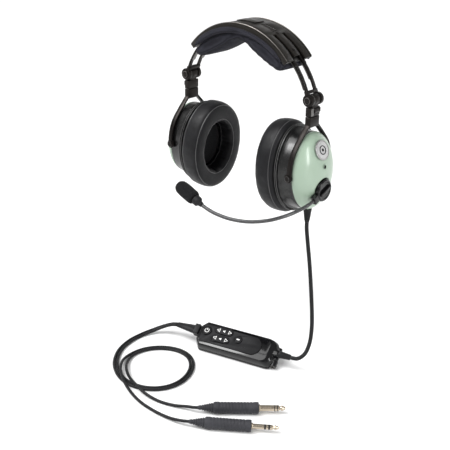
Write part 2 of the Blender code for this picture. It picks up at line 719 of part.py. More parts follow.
def battery_door():
    """The boat-shaped underside, hinged at the cord's end."""
    rim = frustum((-50, 46, 17.4, -9.6), (-50, 46, 17.6, -12.8))
    hull = frustum((-49.4, 45.6, 17.1, -12.2), (-46, 44.6, 5.4, -19.8))
    cavity = span((-45, -12, -15.6), (44, 12, -9), MODULE)
    axis = MODULE.to_3x3() @ Vector((0, 1, 0))
    body = joined(rim, hull)
    for low, high in ((-16.8, -6.4), (6.4, 16.8)):
        tab = span((44, low + 0.2, -12.6), (KNUCKLE_X, high - 0.2, -10.0), MODULE)
        knuckle = cylinder(KNUCKLE_RADIUS, at_module(KNUCKLE_X, low, KNUCKLE_Z), axis, (high - low) * MM, 14)
        body = joined(body, tab, knuckle)
    bore = cylinder(DOOR_PIN_BORE, at_module(KNUCKLE_X, -20, KNUCKLE_Z), axis, 40 * MM, 12)
    return cut(body, cavity, bore)


def door_pin():
    return cylinder(1.1 * MM, at_module(KNUCKLE_X, -16.6, KNUCKLE_Z), MODULE.to_3x3() @ Vector((0, 1, 0)),
                    33.2 * MM, 12)


def stadium(half_length, half_width, steps=8):
    """A bar with round ends, centred on the origin."""
    straight = half_length - half_width
    outline = []
    for side, turn in ((1, 0.0), (-1, math.pi)):
        for i in range(steps + 1):
            angle = turn + math.pi * i / steps - math.pi / 2
            outline.append(((side * straight + half_width * math.cos(angle)) * MM,
                            half_width * math.sin(angle) * MM))
    return outline


def keypad():
    """The matt mat on the top face, with a hole for each key."""
    outline = [(-44 * MM, -11.5 * MM)]
    for i in range(9):
        angle = math.radians(-70 + 140 * i / 8)
        outline.append(((20 + 13 * math.cos(angle)) * MM, 12.2 * math.sin(angle) * MM))
    outline += [(-44 * MM, 11.5 * MM)]
    mat = plate(outline, 0.4 * MM, MODULE @ Matrix.Translation((0, 0, 0.75 * MM)))
    holes = []
    for x, y, radius in (POWER_KEY, ROUND_KEY):
        start = at_module(x, y, -1)
        holes.append(cylinder((radius + 0.4) * MM, start, MODULE.to_3x3() @ Vector((0, 0, 1)), 4 * MM, 20))
    for x, y in ROCKERS.values():
        place = MODULE @ Matrix.Translation((x * MM, y * MM, 0.75 * MM))
        holes.append(plate(stadium(ROCKER_HALF_LENGTH + 0.4, ROCKER_HALF_WIDTH + 0.4), 2 * MM, place))
    return cut(mat, *holes)


def round_key(x, y, radius):
    profile = [(0, 0.9), (radius, 0.9), (radius, 1.5), (radius - 0.8, 2.0), (0, 2.1)]
    return turned(profile, MODULE @ Matrix.Translation((x * MM, y * MM, 0)), 20)


def rocker_key(x, y):
    place = MODULE @ Matrix.Translation((x * MM, y * MM, 1.45 * MM))
    return plate(stadium(ROCKER_HALF_LENGTH, ROCKER_HALF_WIDTH), 0.55 * MM, place)


def battery(y):
    return cylinder(5.2 * MM, at_module(-6, y, -9.4), MODULE_X, 44.5 * MM, 14)


def boot(profile, x, y, z, direction, steps=16):
    return turned(profile, axis_matrix(at_module(x, y, z), direction), steps)


def main_boot():
    profile = [(0, 0), (4.3, 0), (4.3, 2.6), (3.9, 3.2), (3.1, 14.0), (0, 14.0)]
    return boot(profile, 54.3, BOOT_Y, BOOT_Z, MODULE_X)


def twin_boot():
    """A square base, then a taper wide enough for two cords side by side."""
    base = span((-57.5, -2.4, -10.6), (-50.4, 10.4, -1.4), MODULE, 0.6 * MM)
    work = bmesh.new()
    bmesh.ops.create_cone(
        work, cap_ends=True, segments=16, radius1=4.6 * MM, radius2=2.6 * MM, depth=24 * MM,
        matrix=Matrix.Translation((0, 0, 12 * MM)),
    )
    bmesh.ops.scale(work, vec=(1.0, 1.55, 1.0), verts=work.verts)
    mesh = bpy.data.meshes.new("taper")
    work.to_mesh(mesh)
    work.free()
    # Local Z along the module's length, away from it, and local Y level
    along = -MODULE_X
    level = Vector((along.y, -along.x, 0)).normalized()
    up = along.cross(level)
    turn = Matrix((-up, level, along)).transposed().to_4x4()
    taper = moved(mesh, Matrix.Translation(at_module(-57.0, 4, -6)) @ turn)
    return joined(base, taper)


def strain_relief():
    profile = [(0, -61.0), (2.9, -61.0), (3.4, -57.0), (4.2, -49.0), (4.8, -45.2), (0, -45.2)]
    return turned(profile, Matrix.Translation((89.5 * MM, 0, 0)), 16)


def plug_handle(place):
    """Cord boot and handle in one moulding."""
    start, direction = place
    profile = [(0, 0), (2.3, 0), (5.2, 15.0), (6.2, 16.0), (6.4, 20.0), (6.0, 40.0), (6.4, 62.0), (6.0, 63.4),
               (0, 63.4)]
    return turned(profile, axis_matrix(Vector(start) * MM, direction), 18)


def plug_contact(place, radius):
    """Sleeve, ring and ball tip, divided by grooves."""
    start, direction = place
    profile = [(0, 63.8), (radius, 63.8), (radius, 80.0), (radius * 0.8, 80.2), (radius * 0.8, 81.4),
               (radius, 81.6), (radius, 84.6), (radius * 0.55, 85.6), (radius * 0.95, 87.6),
               (radius * 0.4, 91.6), (0, 91.8)]
    return turned(profile, axis_matrix(Vector(start) * MM, direction), 16)


# ---------------------------------------------------------------- assembly


def build_headband():
    crown = joint_empty("left_height_axis", (0, 0, ARC_Z))
    piece("crown_cover", crown_cover(), "crown_plastic", crown)
    piece("crown_cap", crown_cap(), "crown_plastic", crown)
    piece("spring_band", spring_band(), "steel", crown)
    for side, degrees in RIVET_DEG.items():
        piece(side + "_crown_rivet", crown_rivet(degrees), "steel", crown)
    piece("head_pad", head_pad(), "pad_fabric", crown)
    slide = joint_empty("right_height_axis", (0, 0, ARC_Z))
    slide.parent = crown
    slide.matrix_parent_inverse = Matrix.Translation((0, 0, -ARC_Z))
    piece("left_hanger", hanger(), "dark_metal")
    piece("left_hinge_pin", hinge_pin(), "dark_metal")
    piece("right_hanger", hanger(), "dark_metal", slide, RIGHT)
    piece("right_hinge_pin", hinge_pin(), "dark_metal", slide, RIGHT)


def build_side(side):
    turn = SIDES[side]
    fold = joint_empty(side + "_fold_axis", turn @ Vector((HINGE_X, 0, HINGE_Z)))
    piece(side + "_link", link(), "dark_metal", fold, turn)
    swivel = joint_empty(side + "_swivel_axis", turn @ Vector((HINGE_X, 0, LINK_BOTTOM_Z)))
    piece(side + "_yoke", yoke(), "dark_metal", swivel, turn)
    for place, facing in (("front", -1), ("rear", 1)):
        turned_facing = facing if side == "left" else -facing
        screw = pivot_screw(turned_facing)
        piece(side + "_" + place + "_pivot_screw", screw, "dark_metal", swivel, turn)
    tilt = joint_empty(side + "_tilt_axis", turn @ Vector((PIVOT_X, 0, 0)))
    build_cup(side, tilt)


def build_boom():
    pivot = joint_empty("boom_pivot_axis", (109 * MM, BOOM_PIVOT_Y, BOOM_PIVOT_Z))
    piece("boom_socket", boom_socket(), "gloss_black", pivot)
    piece("boom_knob", boom_knob(), "gloss_black", pivot)
    piece("boom_tube", tube(smooth_route(BOOM_ROUTE, 7 * MM), BOOM_RADIUS), "boom", pivot)
    piece("mic_body", mic_body(), "rubber", pivot)
    piece("windscreen", windscreen(), "foam", pivot)


def build_cords():
    piece("strain_relief", strain_relief(), "rubber", bpy.data.objects["left_tilt_axis"])
    piece("main_cord", tube(smooth_route(MAIN_ROUTE, 11 * MM), MAIN_CORD_RADIUS), "rubber")
    route_a = beside(PAIR_ROUTE, TWIN_OFFSET) + LEG_A_ROUTE
    route_b = beside(PAIR_ROUTE, -TWIN_OFFSET) + LEG_B_ROUTE
    piece("phones_cord", tube(smooth_route(route_a, 9.5 * MM), TWIN_CORD_RADIUS), "rubber")
    piece("mic_cord", tube(smooth_route(route_b, 9.5 * MM), TWIN_CORD_RADIUS), "rubber")
    piece("phones_plug_handle", plug_handle(PLUG_A), "rubber")
    piece("phones_plug_contact", plug_contact(PLUG_A, 3.17), "nickel")
    piece("mic_plug_handle", plug_handle(PLUG_B), "rubber")
    piece("mic_plug_contact", plug_contact(PLUG_B, 2.6), "nickel")


def build_module():
    piece("module_housing", module_housing(), "gloss_black")
    piece("module_keypad", keypad(), "rubber")
    piece("circuit_board", span((-44, -11, -6.4), (-8, 11, -4.8), MODULE), "board")
    piece("near_battery", battery(-5.6), "battery")
    piece("far_battery", battery(5.6), "battery")
    piece("module_main_boot", main_boot(), "rubber")
    piece("module_twin_boot", twin_boot(), "rubber")
    piece("door_pin", door_pin(), "steel")
    door = joint_empty("battery_door_axis", at_module(KNUCKLE_X, 0, KNUCKLE_Z))
    piece("battery_door", battery_door(), "shell_plastic", door)
    for name, key in (("power_key", POWER_KEY), ("round_key", ROUND_KEY)):
        slide = joint_empty(name + "_axis", at_module(key[0], key[1], 1.5))
        piece(name, round_key(*key), "rubber", slide)
    for name, (x, y) in ROCKERS.items():
        pivot = joint_empty(name + "_axis", at_module(x, y, 1.45))
        piece(name, rocker_key(x, y), "rubber", pivot)


clear_scene()
PARTS = new_collection("aviation_headset")
CUTTERS = new_collection("cutters")
build_headband()
for headset_side in SIDES:
    build_side(headset_side)
build_boom()
build_cords()
build_module()
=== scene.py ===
"""Looks of the aviation headset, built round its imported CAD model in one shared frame.

+Z is up, the wearer faces -Y, and the wearer's left is +X. Shapes are written in millimetres times MM.
"""

import json
import math
from functools import partial

import bmesh
import bpy
from mathutils import Matrix, Vector, noise
from mathutils.bvhtree import BVHTree


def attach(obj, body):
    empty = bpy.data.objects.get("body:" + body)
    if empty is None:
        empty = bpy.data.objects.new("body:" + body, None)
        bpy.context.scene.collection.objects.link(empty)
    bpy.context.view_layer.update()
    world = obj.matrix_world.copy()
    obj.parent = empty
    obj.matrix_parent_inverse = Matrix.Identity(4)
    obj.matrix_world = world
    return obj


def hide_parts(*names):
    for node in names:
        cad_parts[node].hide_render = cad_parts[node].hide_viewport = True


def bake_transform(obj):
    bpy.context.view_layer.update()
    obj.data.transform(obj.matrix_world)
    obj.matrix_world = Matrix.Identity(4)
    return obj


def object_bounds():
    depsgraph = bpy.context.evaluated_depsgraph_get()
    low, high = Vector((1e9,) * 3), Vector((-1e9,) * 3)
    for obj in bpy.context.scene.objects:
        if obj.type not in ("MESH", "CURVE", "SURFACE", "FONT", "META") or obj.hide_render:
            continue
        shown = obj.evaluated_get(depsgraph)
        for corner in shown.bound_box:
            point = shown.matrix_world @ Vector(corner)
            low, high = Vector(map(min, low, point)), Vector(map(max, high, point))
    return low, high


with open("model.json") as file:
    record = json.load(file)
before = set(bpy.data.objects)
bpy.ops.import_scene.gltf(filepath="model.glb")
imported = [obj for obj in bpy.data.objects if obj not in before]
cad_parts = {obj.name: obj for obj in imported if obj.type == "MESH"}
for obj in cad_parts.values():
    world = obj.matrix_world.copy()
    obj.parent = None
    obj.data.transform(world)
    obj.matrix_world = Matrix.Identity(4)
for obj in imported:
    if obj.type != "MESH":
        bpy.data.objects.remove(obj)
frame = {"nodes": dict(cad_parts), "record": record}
CAD_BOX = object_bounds()
NODES = frame["nodes"]
MM = 0.001

# ---------------------------------------------------------------- frame that the CAD also uses

ARC_Z = 53.9 * MM
PIVOT_X = 88.0 * MM
HINGE_X = 88.8
HINGE_Z = 79.5
CUP_OVAL = 0.79
CUP_LEAN_DEG = 3.0
BOOM_PIVOT = (109.0, 0.0, -18.0)
BOOM_ARM_DEG = 202.6
MIC_START = (22.0, -100.5, -30.2)
MIC_END = (-15.0, -100.0, -15.4)
MODULE_CENTRE = (46.0, -69.5, -205.0)
MODULE_HEADING_DEG = 14.5
MODULE_ROLL_DEG = 30.0
TWIN_OFFSET = 1.85
MAIN_CORD_RADIUS = 2.35
TWIN_CORD_RADIUS = 1.65

LEFT = Matrix.Identity(4)
RIGHT = Matrix.Rotation(math.pi, 4, "Z")
SIDES = {"left": LEFT, "right": RIGHT}
CUP_AXES = Matrix(((0, 0, 1, 0), (0, -1, 0, 0), (1, 0, 0, 0), (0, 0, 0, 1)))
CUP_PLACE = Matrix.Translation((PIVOT_X, 0, 0)) @ Matrix.Rotation(math.radians(-CUP_LEAN_DEG), 4, "Y")
CUP = CUP_PLACE @ CUP_AXES @ Matrix.Diagonal((1, CUP_OVAL, 1, 1))
CUP_ROUND = CUP_PLACE @ CUP_AXES
MODULE = (
    Matrix.Translation(Vector(MODULE_CENTRE) * MM)
    @ Matrix.Rotation(math.radians(MODULE_HEADING_DEG), 4, "Z")
    @ Matrix.Rotation(math.radians(MODULE_ROLL_DEG), 4, "X")
)

MAIN_ROUTE = [
    (89.5, 0.0, -61.4), (90.3, -0.7, -70.0), (94.6, -3.0, -86.0), (100.6, -6.4, -106.0),
    (106.0, -9.8, -126.0), (111.0, -13.4, -145.0), (115.8, -17.2, -164.0), (119.6, -21.6, -180.0),
    (122.2, -27.8, -194.0), (122.4, -36.0, -204.5), (118.9, -44.6, -208.8), (112.0, -47.9, -209.2),
]
PAIR_ROUTE = [
    (-34.6, -83.7, -208.2), (-43.0, -86.0, -210.5), (-53.0, -90.5, -215.5), (-62.0, -99.0, -220.6),
    (-67.5, -113.0, -223.1), (-67.8, -132.0, -223.2), (-62.0, -153.0, -223.2), (-48.5, -172.5, -223.2),
    (-31.5, -185.5, -223.2), (-13.5, -192.0, -223.2), (3.0, -192.0, -223.2), (16.5, -187.3, -223.2),
    (28.0, -178.0, -223.2), (35.3, -164.5, -223.2), (36.6, -148.0, -223.2), (31.0, -130.5, -223.2),
    (20.0, -116.5, -223.2), (5.5, -108.5, -223.2), (-11.5, -108.5, -223.2), (-28.0, -117.0, -223.2),
    (-39.5, -131.0, -223.2), (-43.6, -147.5, -223.0),
]
LEG_A_ROUTE = [
    (-37.4, -162.5, -222.2), (-25.5, -177.0, -220.0), (-9.5, -187.6, -219.2), (7.5, -193.2, -219.2),
    (26.0, -195.6, -221.6), (45.0, -193.8, -223.2), (62.5, -188.8, -222.6), (76.0, -183.6, -220.2),
    (84.0, -181.2, -218.8), (88.2, -178.3, -218.5),
]
LEG_B_ROUTE = [
    (-42.6, -164.8, -222.0), (-31.0, -180.5, -219.6), (-14.0, -193.4, -219.2), (6.0, -202.2, -221.6),
    (29.0, -207.8, -223.2), (53.0, -209.2, -223.2), (73.0, -208.0, -222.2), (88.0, -205.8, -219.6),
    (97.6, -201.5, -218.5),
]
BOOM_ROUTE = [
    (109.0, -18.9, -25.9), (108.2, -30.0, -28.6), (105.8, -45.0, -30.9), (100.4, -59.0, -33.6),
    (90.0, -73.0, -36.8), (74.0, -85.0, -39.0), (56.0, -93.2, -38.6), (40.0, -97.8, -36.0),
    (30.0, -99.6, -33.2), (22.4, -100.5, -30.4),
]
PLUGS = {
    "phones": ((88.5, -178.0, -218.5), (0.749, 0.662, 0.0), 3.17, ((79.6, 0.9), (82.6, 0.9))),
    "mic": ((97.9, -201.3, -218.5), (0.812, 0.583, 0.0), 2.6, ((76.4, 1.9), (80.6, 1.9))),
}

# ---------------------------------------------------------------- camera

CAMERA_PLACE = (563.3, -684.4, 295.8)
CAMERA_AZIMUTH = 41.06
CAMERA_ELEVATION = 23.66
CAMERA_ROLL = 0.72
CAMERA_LENS = 63.9


def make_camera():
    azimuth = math.radians(CAMERA_AZIMUTH)
    elevation = math.radians(CAMERA_ELEVATION)
    roll = math.radians(CAMERA_ROLL)
    back = Vector((math.sin(azimuth) * math.cos(elevation), -math.cos(azimuth) * math.cos(elevation),
                   math.sin(elevation)))
    right = Vector((math.cos(azimuth), math.sin(azimuth), 0))
    up = back.cross(right)
    rolled_right = right * math.cos(roll) + up * math.sin(roll)
    rolled_up = up * math.cos(roll) - right * math.sin(roll)
    turn = Matrix((rolled_right, rolled_up, back)).transposed().to_4x4()
    data = bpy.data.cameras.new("camera")
    data.lens = CAMERA_LENS
    data.sensor_width = 36
    data.clip_start = 0.02
    data.clip_end = 20
    camera = bpy.data.objects.new("camera", data)
    bpy.context.scene.collection.objects.link(camera)
    camera.matrix_world = Matrix.Translation(Vector(CAMERA_PLACE) * MM) @ turn
    bpy.context.scene.camera = camera


make_camera()

# ---------------------------------------------------------------- materials


class Look:
    """A Principled material with a few node helpers. Every pattern is in object space, in metres."""

    def __init__(self, name, colour, roughness, metallic=0.0):
        self.material = bpy.data.materials.new(name)
        self.material.use_nodes = True
        self.nodes = self.material.node_tree.nodes
        self.links = self.material.node_tree.links
        self.shader = self.nodes["Principled BSDF"]
        self.colour = colour
        self.roughness = roughness
        self.shader.inputs["Base Color"].default_value = (*colour, 1)
        self.shader.inputs["Roughness"].default_value = roughness
        self.shader.inputs["Metallic"].default_value = metallic
        self.place = self.nodes.new("ShaderNodeTexCoord").outputs["Object"]
        self.normal = None

    def set(self, **sockets):
        for name, value in sockets.items():
            self.shader.inputs[name.replace("_", " ")].default_value = value
        return self

    def noise(self, size, detail=3.0, stretch=None):
        """A noise value whose features are about size millimetres across."""
        node = self.nodes.new("ShaderNodeTexNoise")
        node.inputs["Scale"].default_value = 1 / (size * MM)
        node.inputs["Detail"].default_value = detail
        self.links.new(self.mapped(stretch), node.inputs["Vector"])
        return node.outputs["Fac"]

    def cells(self, size, feature="F1"):
        node = self.nodes.new("ShaderNodeTexVoronoi")
        node.feature = feature
        node.inputs["Scale"].default_value = 1 / (size * MM)
        self.links.new(self.place, node.inputs["Vector"])
        return node.outputs["Distance"]

    def wave(self, size, axis, distort=0.4):
        node = self.nodes.new("ShaderNodeTexWave")
        node.bands_direction = axis
        node.inputs["Scale"].default_value = 1 / (size * MM) / 3.2
        node.inputs["Distortion"].default_value = distort
        self.links.new(self.place, node.inputs["Vector"])
        return node.outputs["Fac"]

    def mapped(self, stretch):
        if stretch is None:
            return self.place
        node = self.nodes.new("ShaderNodeMapping")
        node.inputs["Scale"].default_value = stretch
        self.links.new(self.place, node.inputs["Vector"])
        return node.outputs["Vector"]

    def math(self, operation, first, second):
        node = self.nodes.new("ShaderNodeMath")
        node.operation = operation
        for socket, value in zip(node.inputs, (first, second)):
            if isinstance(value, (int, float)):
                socket.default_value = value
            else:
                self.links.new(value, socket)
        return node.outputs["Value"]

    def ramp(self, value, low, high, span=(0.0, 1.0)):
        node = self.nodes.new("ShaderNodeMapRange")
        node.inputs["From Min"].default_value = span[0]
        node.inputs["From Max"].default_value = span[1]
        node.inputs["To Min"].default_value = low
        node.inputs["To Max"].default_value = high
        self.links.new(value, node.inputs["Value"])
        return node.outputs["Result"]

    def tint(self, value, dark, light, span=(0.3, 0.7)):
        """Colour that runs from dark to light times the base colour."""
        node = self.nodes.new("ShaderNodeValToRGB")
        node.color_ramp.elements[0].position = span[0]
        node.color_ramp.elements[1].position = span[1]
        node.color_ramp.elements[0].color = (*[c * dark for c in self.colour], 1)
        node.color_ramp.elements[1].color = (*[min(c * light, 1) for c in self.colour], 1)
        self.links.new(value, node.inputs["Fac"])
        self.links.new(node.outputs["Color"], self.shader.inputs["Base Color"])
        return self

    def shine(self, value, spread):
        low, high = self.roughness - spread, self.roughness + spread
        self.links.new(self.ramp(value, max(low, 0.02), min(high, 1.0), (0.25, 0.75)),
                       self.shader.inputs["Roughness"])
        return self

    def bump(self, value, height, strength=1.0):
        """Relief of about height millimetres, on top of any relief added before."""
        node = self.nodes.new("ShaderNodeBump")
        node.inputs["Distance"].default_value = height * MM
        node.inputs["Strength"].default_value = strength
        self.links.new(value, node.inputs["Height"])
        if self.normal is not None:
            self.links.new(self.normal, node.inputs["Normal"])
        self.normal = node.outputs["Normal"]
        self.links.new(self.normal, self.shader.inputs["Normal"])
        return self


def anodised(name, colour, roughness=0.36):
    look = Look(name, colour, roughness, 0.75)
    look.set(Specular_IOR_Level=0.2)
    look.tint(look.noise(26), 0.8, 1.25)
    look.shine(look.noise(5, 5), 0.07)
    return look.bump(look.noise(0.35, 2), 0.012).material


def moulded(name, colour, roughness, grain=0.006, specular=0.18):
    look = Look(name, colour, roughness)
    look.set(Specular_IOR_Level=specular, Coat_Weight=0.02, Coat_Roughness=0.3)
    look.tint(look.noise(30), 0.88, 1.15)
    look.shine(look.noise(7, 4), 0.05)
    return look.bump(look.noise(0.4, 2), grain).material


def painted(name, colour):
    look = Look(name, colour, 0.34)
    look.set(Coat_Weight=0.45, Coat_Roughness=0.14)
    look.tint(look.noise(40), 0.97, 1.03)
    look.shine(look.noise(9, 4), 0.04)
    return look.bump(look.noise(1.3, 1), 0.008).material


def leather():
    look = Look("leatherette", (0.008, 0.008, 0.009), 0.44)
    look.set(Specular_IOR_Level=0.16, Coat_Weight=0.0, Sheen_Weight=0.0)
    look.tint(look.noise(12), 0.8, 1.3)
    look.shine(look.noise(4), 0.08)
    look.bump(look.cells(1.1, "DISTANCE_TO_EDGE"), 0.10, 0.7)
    look.bump(look.noise(7, 2), 0.5, 0.5)
    return look.bump(look.noise(0.6, 3), 0.05).material


def woven(name, colour):
    look = Look(name, colour, 0.93)
    look.set(Specular_IOR_Level=0.08, Sheen_Weight=0.02, Sheen_Roughness=0.5)
    warp = look.wave(0.9, "X", 0.8)
    weft = look.wave(0.9, "Y", 0.8)
    threads = look.math("MULTIPLY", warp, weft)
    look.tint(look.math("ADD", threads, look.math("MULTIPLY", look.noise(14), 0.5)), 0.55, 1.5, (0.15, 0.9))
    look.bump(threads, 0.16, 0.8)
    return look.bump(look.noise(0.5, 4), 0.08, 0.6).material


def open_foam():
    look = Look("foam", (0.011, 0.011, 0.012), 0.98)
    look.set(Specular_IOR_Level=0.1, Sheen_Weight=0.03)
    pits = look.cells(0.85)
    look.tint(pits, 1.6, 0.45, (0.1, 0.8))
    return look.bump(pits, 0.28, 0.9).material


def rubbered(name, colour, roughness=0.55, specular=0.16):
    look = Look(name, colour, roughness)
    look.set(Specular_IOR_Level=specular)
    look.tint(look.noise(16), 0.85, 1.2)
    look.shine(look.noise(3, 4), 0.06)
    return look.bump(look.noise(0.5, 3), 0.025).material


def brushed(name, colour, roughness, stretch):
    look = Look(name, colour, roughness, 1.0)
    lines = look.noise(0.5, 3, stretch)
    look.tint(lines, 0.88, 1.06)
    look.shine(lines, 0.08)
    return look.bump(lines, 0.01).material


def glossy(name, colour, roughness=0.12):
    look = Look(name, colour, roughness)
    look.set(Specular_IOR_Level=0.2, Coat_Weight=0.25, Coat_Roughness=0.06)
    look.tint(look.noise(25), 0.9, 1.1)
    look.shine(look.noise(6, 5), 0.03)
    return look.bump(look.noise(2.5, 2), 0.006).material


def circuit():
    look = Look("circuit_board", (0.02, 0.12, 0.05), 0.35)
    look.tint(look.cells(2.4, "DISTANCE_TO_EDGE"), 1.8, 0.8, (0.02, 0.1))
    return look.bump(look.cells(2.4, "DISTANCE_TO_EDGE"), 0.04).material


LOOKS = {
    "dark_metal": anodised("dark_metal", (0.016, 0.014, 0.013)),
    "spring_steel": brushed("spring_steel", (0.16, 0.155, 0.15), 0.34, (0.1, 1, 1)),
    "crown_plastic": moulded("crown_plastic", (0.011, 0.0095, 0.008), 0.34),
    "shell_plastic": moulded("shell_plastic", (0.006, 0.006, 0.006), 0.24, specular=0.42),
    "sage_paint": painted("sage_paint", (0.28, 0.37, 0.285)),
    "badge": brushed("badge", (0.52, 0.52, 0.52), 0.32, (1, 0.15, 1)),
    "leatherette": leather(),
    "pad_fabric": woven("pad_fabric", (0.021, 0.021, 0.027)),
    "foam": open_foam(),
    "boom_sleeve": rubbered("boom_sleeve", (0.03, 0.03, 0.032), 0.26, 0.75),
    "rubber": rubbered("rubber", (0.012, 0.012, 0.013), 0.46),
    "gloss_black": glossy("gloss_black", (0.004, 0.004, 0.0045)),
    "key_rubber": rubbered("key_rubber", (0.009, 0.009, 0.01), 0.55),
    "circuit_board": circuit(),
    "battery": brushed("battery", (0.5, 0.4, 0.14), 0.3, (1, 1, 1)),
    "nickel": brushed("nickel", (0.5, 0.43, 0.34), 0.24, (1, 1, 0.2)),
}
# Seam beads for the ear seals, lighter and glossier than the leatherette: real piping, and painted highlight
# along the seals' edges.
PIPING_AND_HIGHLIGHT = rubbered("piping", (0.035, 0.035, 0.036), 0.32, 0.7)
THREAD = rubbered("thread", (0.012, 0.012, 0.014), 0.7)
PRINT_WHITE = rubbered("print_white", (0.75, 0.75, 0.74), 0.5)
# Light grey for thin lines and rings: painted highlight on grooves, rims and the module seam; also the rails'
# notch marks.
MARK_AND_HIGHLIGHT_GREY = moulded("mark_and_highlight_grey", (0.10, 0.10, 0.10), 0.22)
# Light metal for thin rims and beads: painted highlight along edges and rims; the ratchet teeth use it too.
HIGHLIGHT_METAL = brushed("highlight_metal", (0.16, 0.15, 0.14), 0.3, (1, 1, 1))
CHARCOAL = rubbered("charcoal", (0.035, 0.035, 0.04), 0.55)
INSULATOR = glossy("insulator", (0.01, 0.01, 0.011), 0.3)
DEEP_BLACK = rubbered("deep_black", (0.004, 0.004, 0.004), 0.8)

# ---------------------------------------------------------------- mesh helpers


def new_piece(name, mesh, look, body, matrix=LEFT, smooth_deg=40.0):
    """A shown piece that rides on a body. look is a slot of the record, or a material of its own."""
    obj = bpy.data.objects.new(name, mesh)
    bpy.context.scene.collection.objects.link(obj)
    mesh.transform(matrix)
    mesh.materials.clear()
    mesh.materials.append(LOOKS[look] if isinstance(look, str) else look)
    mesh.shade_smooth()
    mesh.set_sharp_from_angle(angle=math.radians(smooth_deg))
    if body:
        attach(obj, body)
    return obj


def mesh_of(points, faces):
    mesh = bpy.data.meshes.new("mesh")
    mesh.from_pydata([tuple(p) for p in points], [], faces)
    work = bmesh.new()
    work.from_mesh(mesh)
    bmesh.ops.recalc_face_normals(work, faces=work.faces)
    work.to_mesh(mesh)
    work.free()
    return mesh


def merged(meshes):
    """One mesh of several, each left as its own shell."""
    work = bmesh.new()
    for mesh in meshes:
        work.from_mesh(mesh)
    mesh = bpy.data.meshes.new("merged")
    work.to_mesh(mesh)
    work.free()
    return mesh


def rounded(profile, radius, closed, steps=4):
    """The profile with each corner turned into a small curve."""
    count = len(profile)
    made = []
    for i, corner in enumerate(profile):
        if not closed and i in (0, count - 1):
            made.append(corner)
            continue
        here = Vector(corner)
        before = Vector(profile[i - 1]) - here
        after = Vector(profile[(i + 1) % count]) - here
        start = here + before.normalized() * min(radius, before.length * 0.48)
        end = here + after.normalized() * min(radius, after.length * 0.48)
        for j in range(steps + 1):
            t = j / steps
            made.append(tuple(start.lerp(here, t).lerp(here.lerp(end, t), t)))
    return made


def lathe(profile, matrix, closed=True, radius=0.5, steps=96):
    """A profile of (radius, height) in millimetres, rounded and turned about local Z."""
    profile = rounded(profile, radius, closed)
    points = []
    for i in range(steps):
        angle = math.tau * i / steps
        points += [(r * MM * math.cos(angle), r * MM * math.sin(angle), h * MM) for r, h in profile]
    count = len(profile)
    faces = []
    for i in range(steps):
        a, b = i * count, (i + 1) % steps * count
        for j in range(count if closed else count - 1):
            k = (j + 1) % count
            faces.append((a + j, a + k, b + k, b + j))
    mesh = mesh_of(points, faces)
    work = bmesh.new()
    work.from_mesh(mesh)
    bmesh.ops.remove_doubles(work, verts=work.verts, dist=0.001 * MM)
    bmesh.ops.recalc_face_normals(work, faces=work.faces)
    work.to_mesh(mesh)
    work.free()
    mesh.transform(matrix)
    return mesh


def smooth_route(points, step):
    """Points every step metres along a Catmull-Rom curve through points given in millimetres."""
    knots = [Vector(p) * MM for p in points]
    knots = [2 * knots[0] - knots[1]] + knots + [2 * knots[-1] - knots[-2]]
    dense = []
    for a, b, c, d in zip(knots, knots[1:], knots[2:], knots[3:]):
        for i in range(24):
            t = i / 24
            dense.append(
                0.5 * ((2 * b) + (c - a) * t + (2 * a - 5 * b + 4 * c - d) * t**2
                       + (3 * b - a - 3 * c + d) * t**3)
            )
    dense.append(knots[-2])
    lengths = [0.0]
    for a, b in zip(dense, dense[1:]):
        lengths.append(lengths[-1] + (b - a).length)
    count = max(2, round(lengths[-1] / step))
    route, at = [], 0
    for i in range(count + 1):
        wanted = lengths[-1] * i / count
        while at < len(dense) - 2 and lengths[at + 1] < wanted:
            at += 1
        part = (wanted - lengths[at]) / (lengths[at + 1] - lengths[at])
        route.append(dense[at].lerp(dense[at + 1], min(part, 1.0)))
    return route


def beside(points, offset):
    """A flat parallel of a route, offset to its left, all in millimetres."""
    shifted = []
    for i, point in enumerate(points):
        before = Vector(points[max(i - 1, 0)])
        after = Vector(points[min(i + 1, len(points) - 1)])
        along = (after - before).normalized()
        left = Vector((-along.y, along.x, 0.0)).normalized() * offset
        shifted.append(tuple(Vector(point) + left))
    return shifted


def tube(route, radius, sides=16, closed=False):
    """A round tube along points in metres. radius is metres, or a function of the share of the length."""
    count = len(route)
    along = []
    for i in range(count):
        before = route[i - 1] if closed or i else route[0]
        after = route[(i + 1) % count] if closed else route[min(i + 1, count - 1)]
        along.append((after - before).normalized())
    side = along[0].orthogonal().normalized()
    points = []
    for i, (place, direction) in enumerate(zip(route, along)):
        side = (side - direction * side.dot(direction)).normalized()
        other = direction.cross(side)
        size = radius(i / (count - 1)) if callable(radius) else radius
        for j in range(sides):
            angle = math.tau * j / sides
            points.append(place + (side * math.cos(angle) + other * math.sin(angle)) * size)
    faces = []
    for i in range(count if closed else count - 1):
        a, b = i * sides, (i + 1) % count * sides
        faces += [(a + j, a + (j + 1) % sides, b + (j + 1) % sides, b + j) for j in range(sides)]
    if not closed:
        faces += [tuple(range(sides)), tuple(range((count - 1) * sides, count * sides))]
    return mesh_of(points, faces)


def ring(radius, height, thickness, matrix, steps=96, oval=True):
    """A thin closed bead that runs round a cup at one radius and height."""
    squeeze = CUP_OVAL if oval else 1.0
    route = []
    for i in range(steps):
        angle = math.tau * i / steps
        route.append(matrix @ Vector((radius * MM * math.cos(angle), radius * squeeze * MM * math.sin(angle),
                                      height * MM)))
    return tube(route, thickness * MM, 8, closed=True)


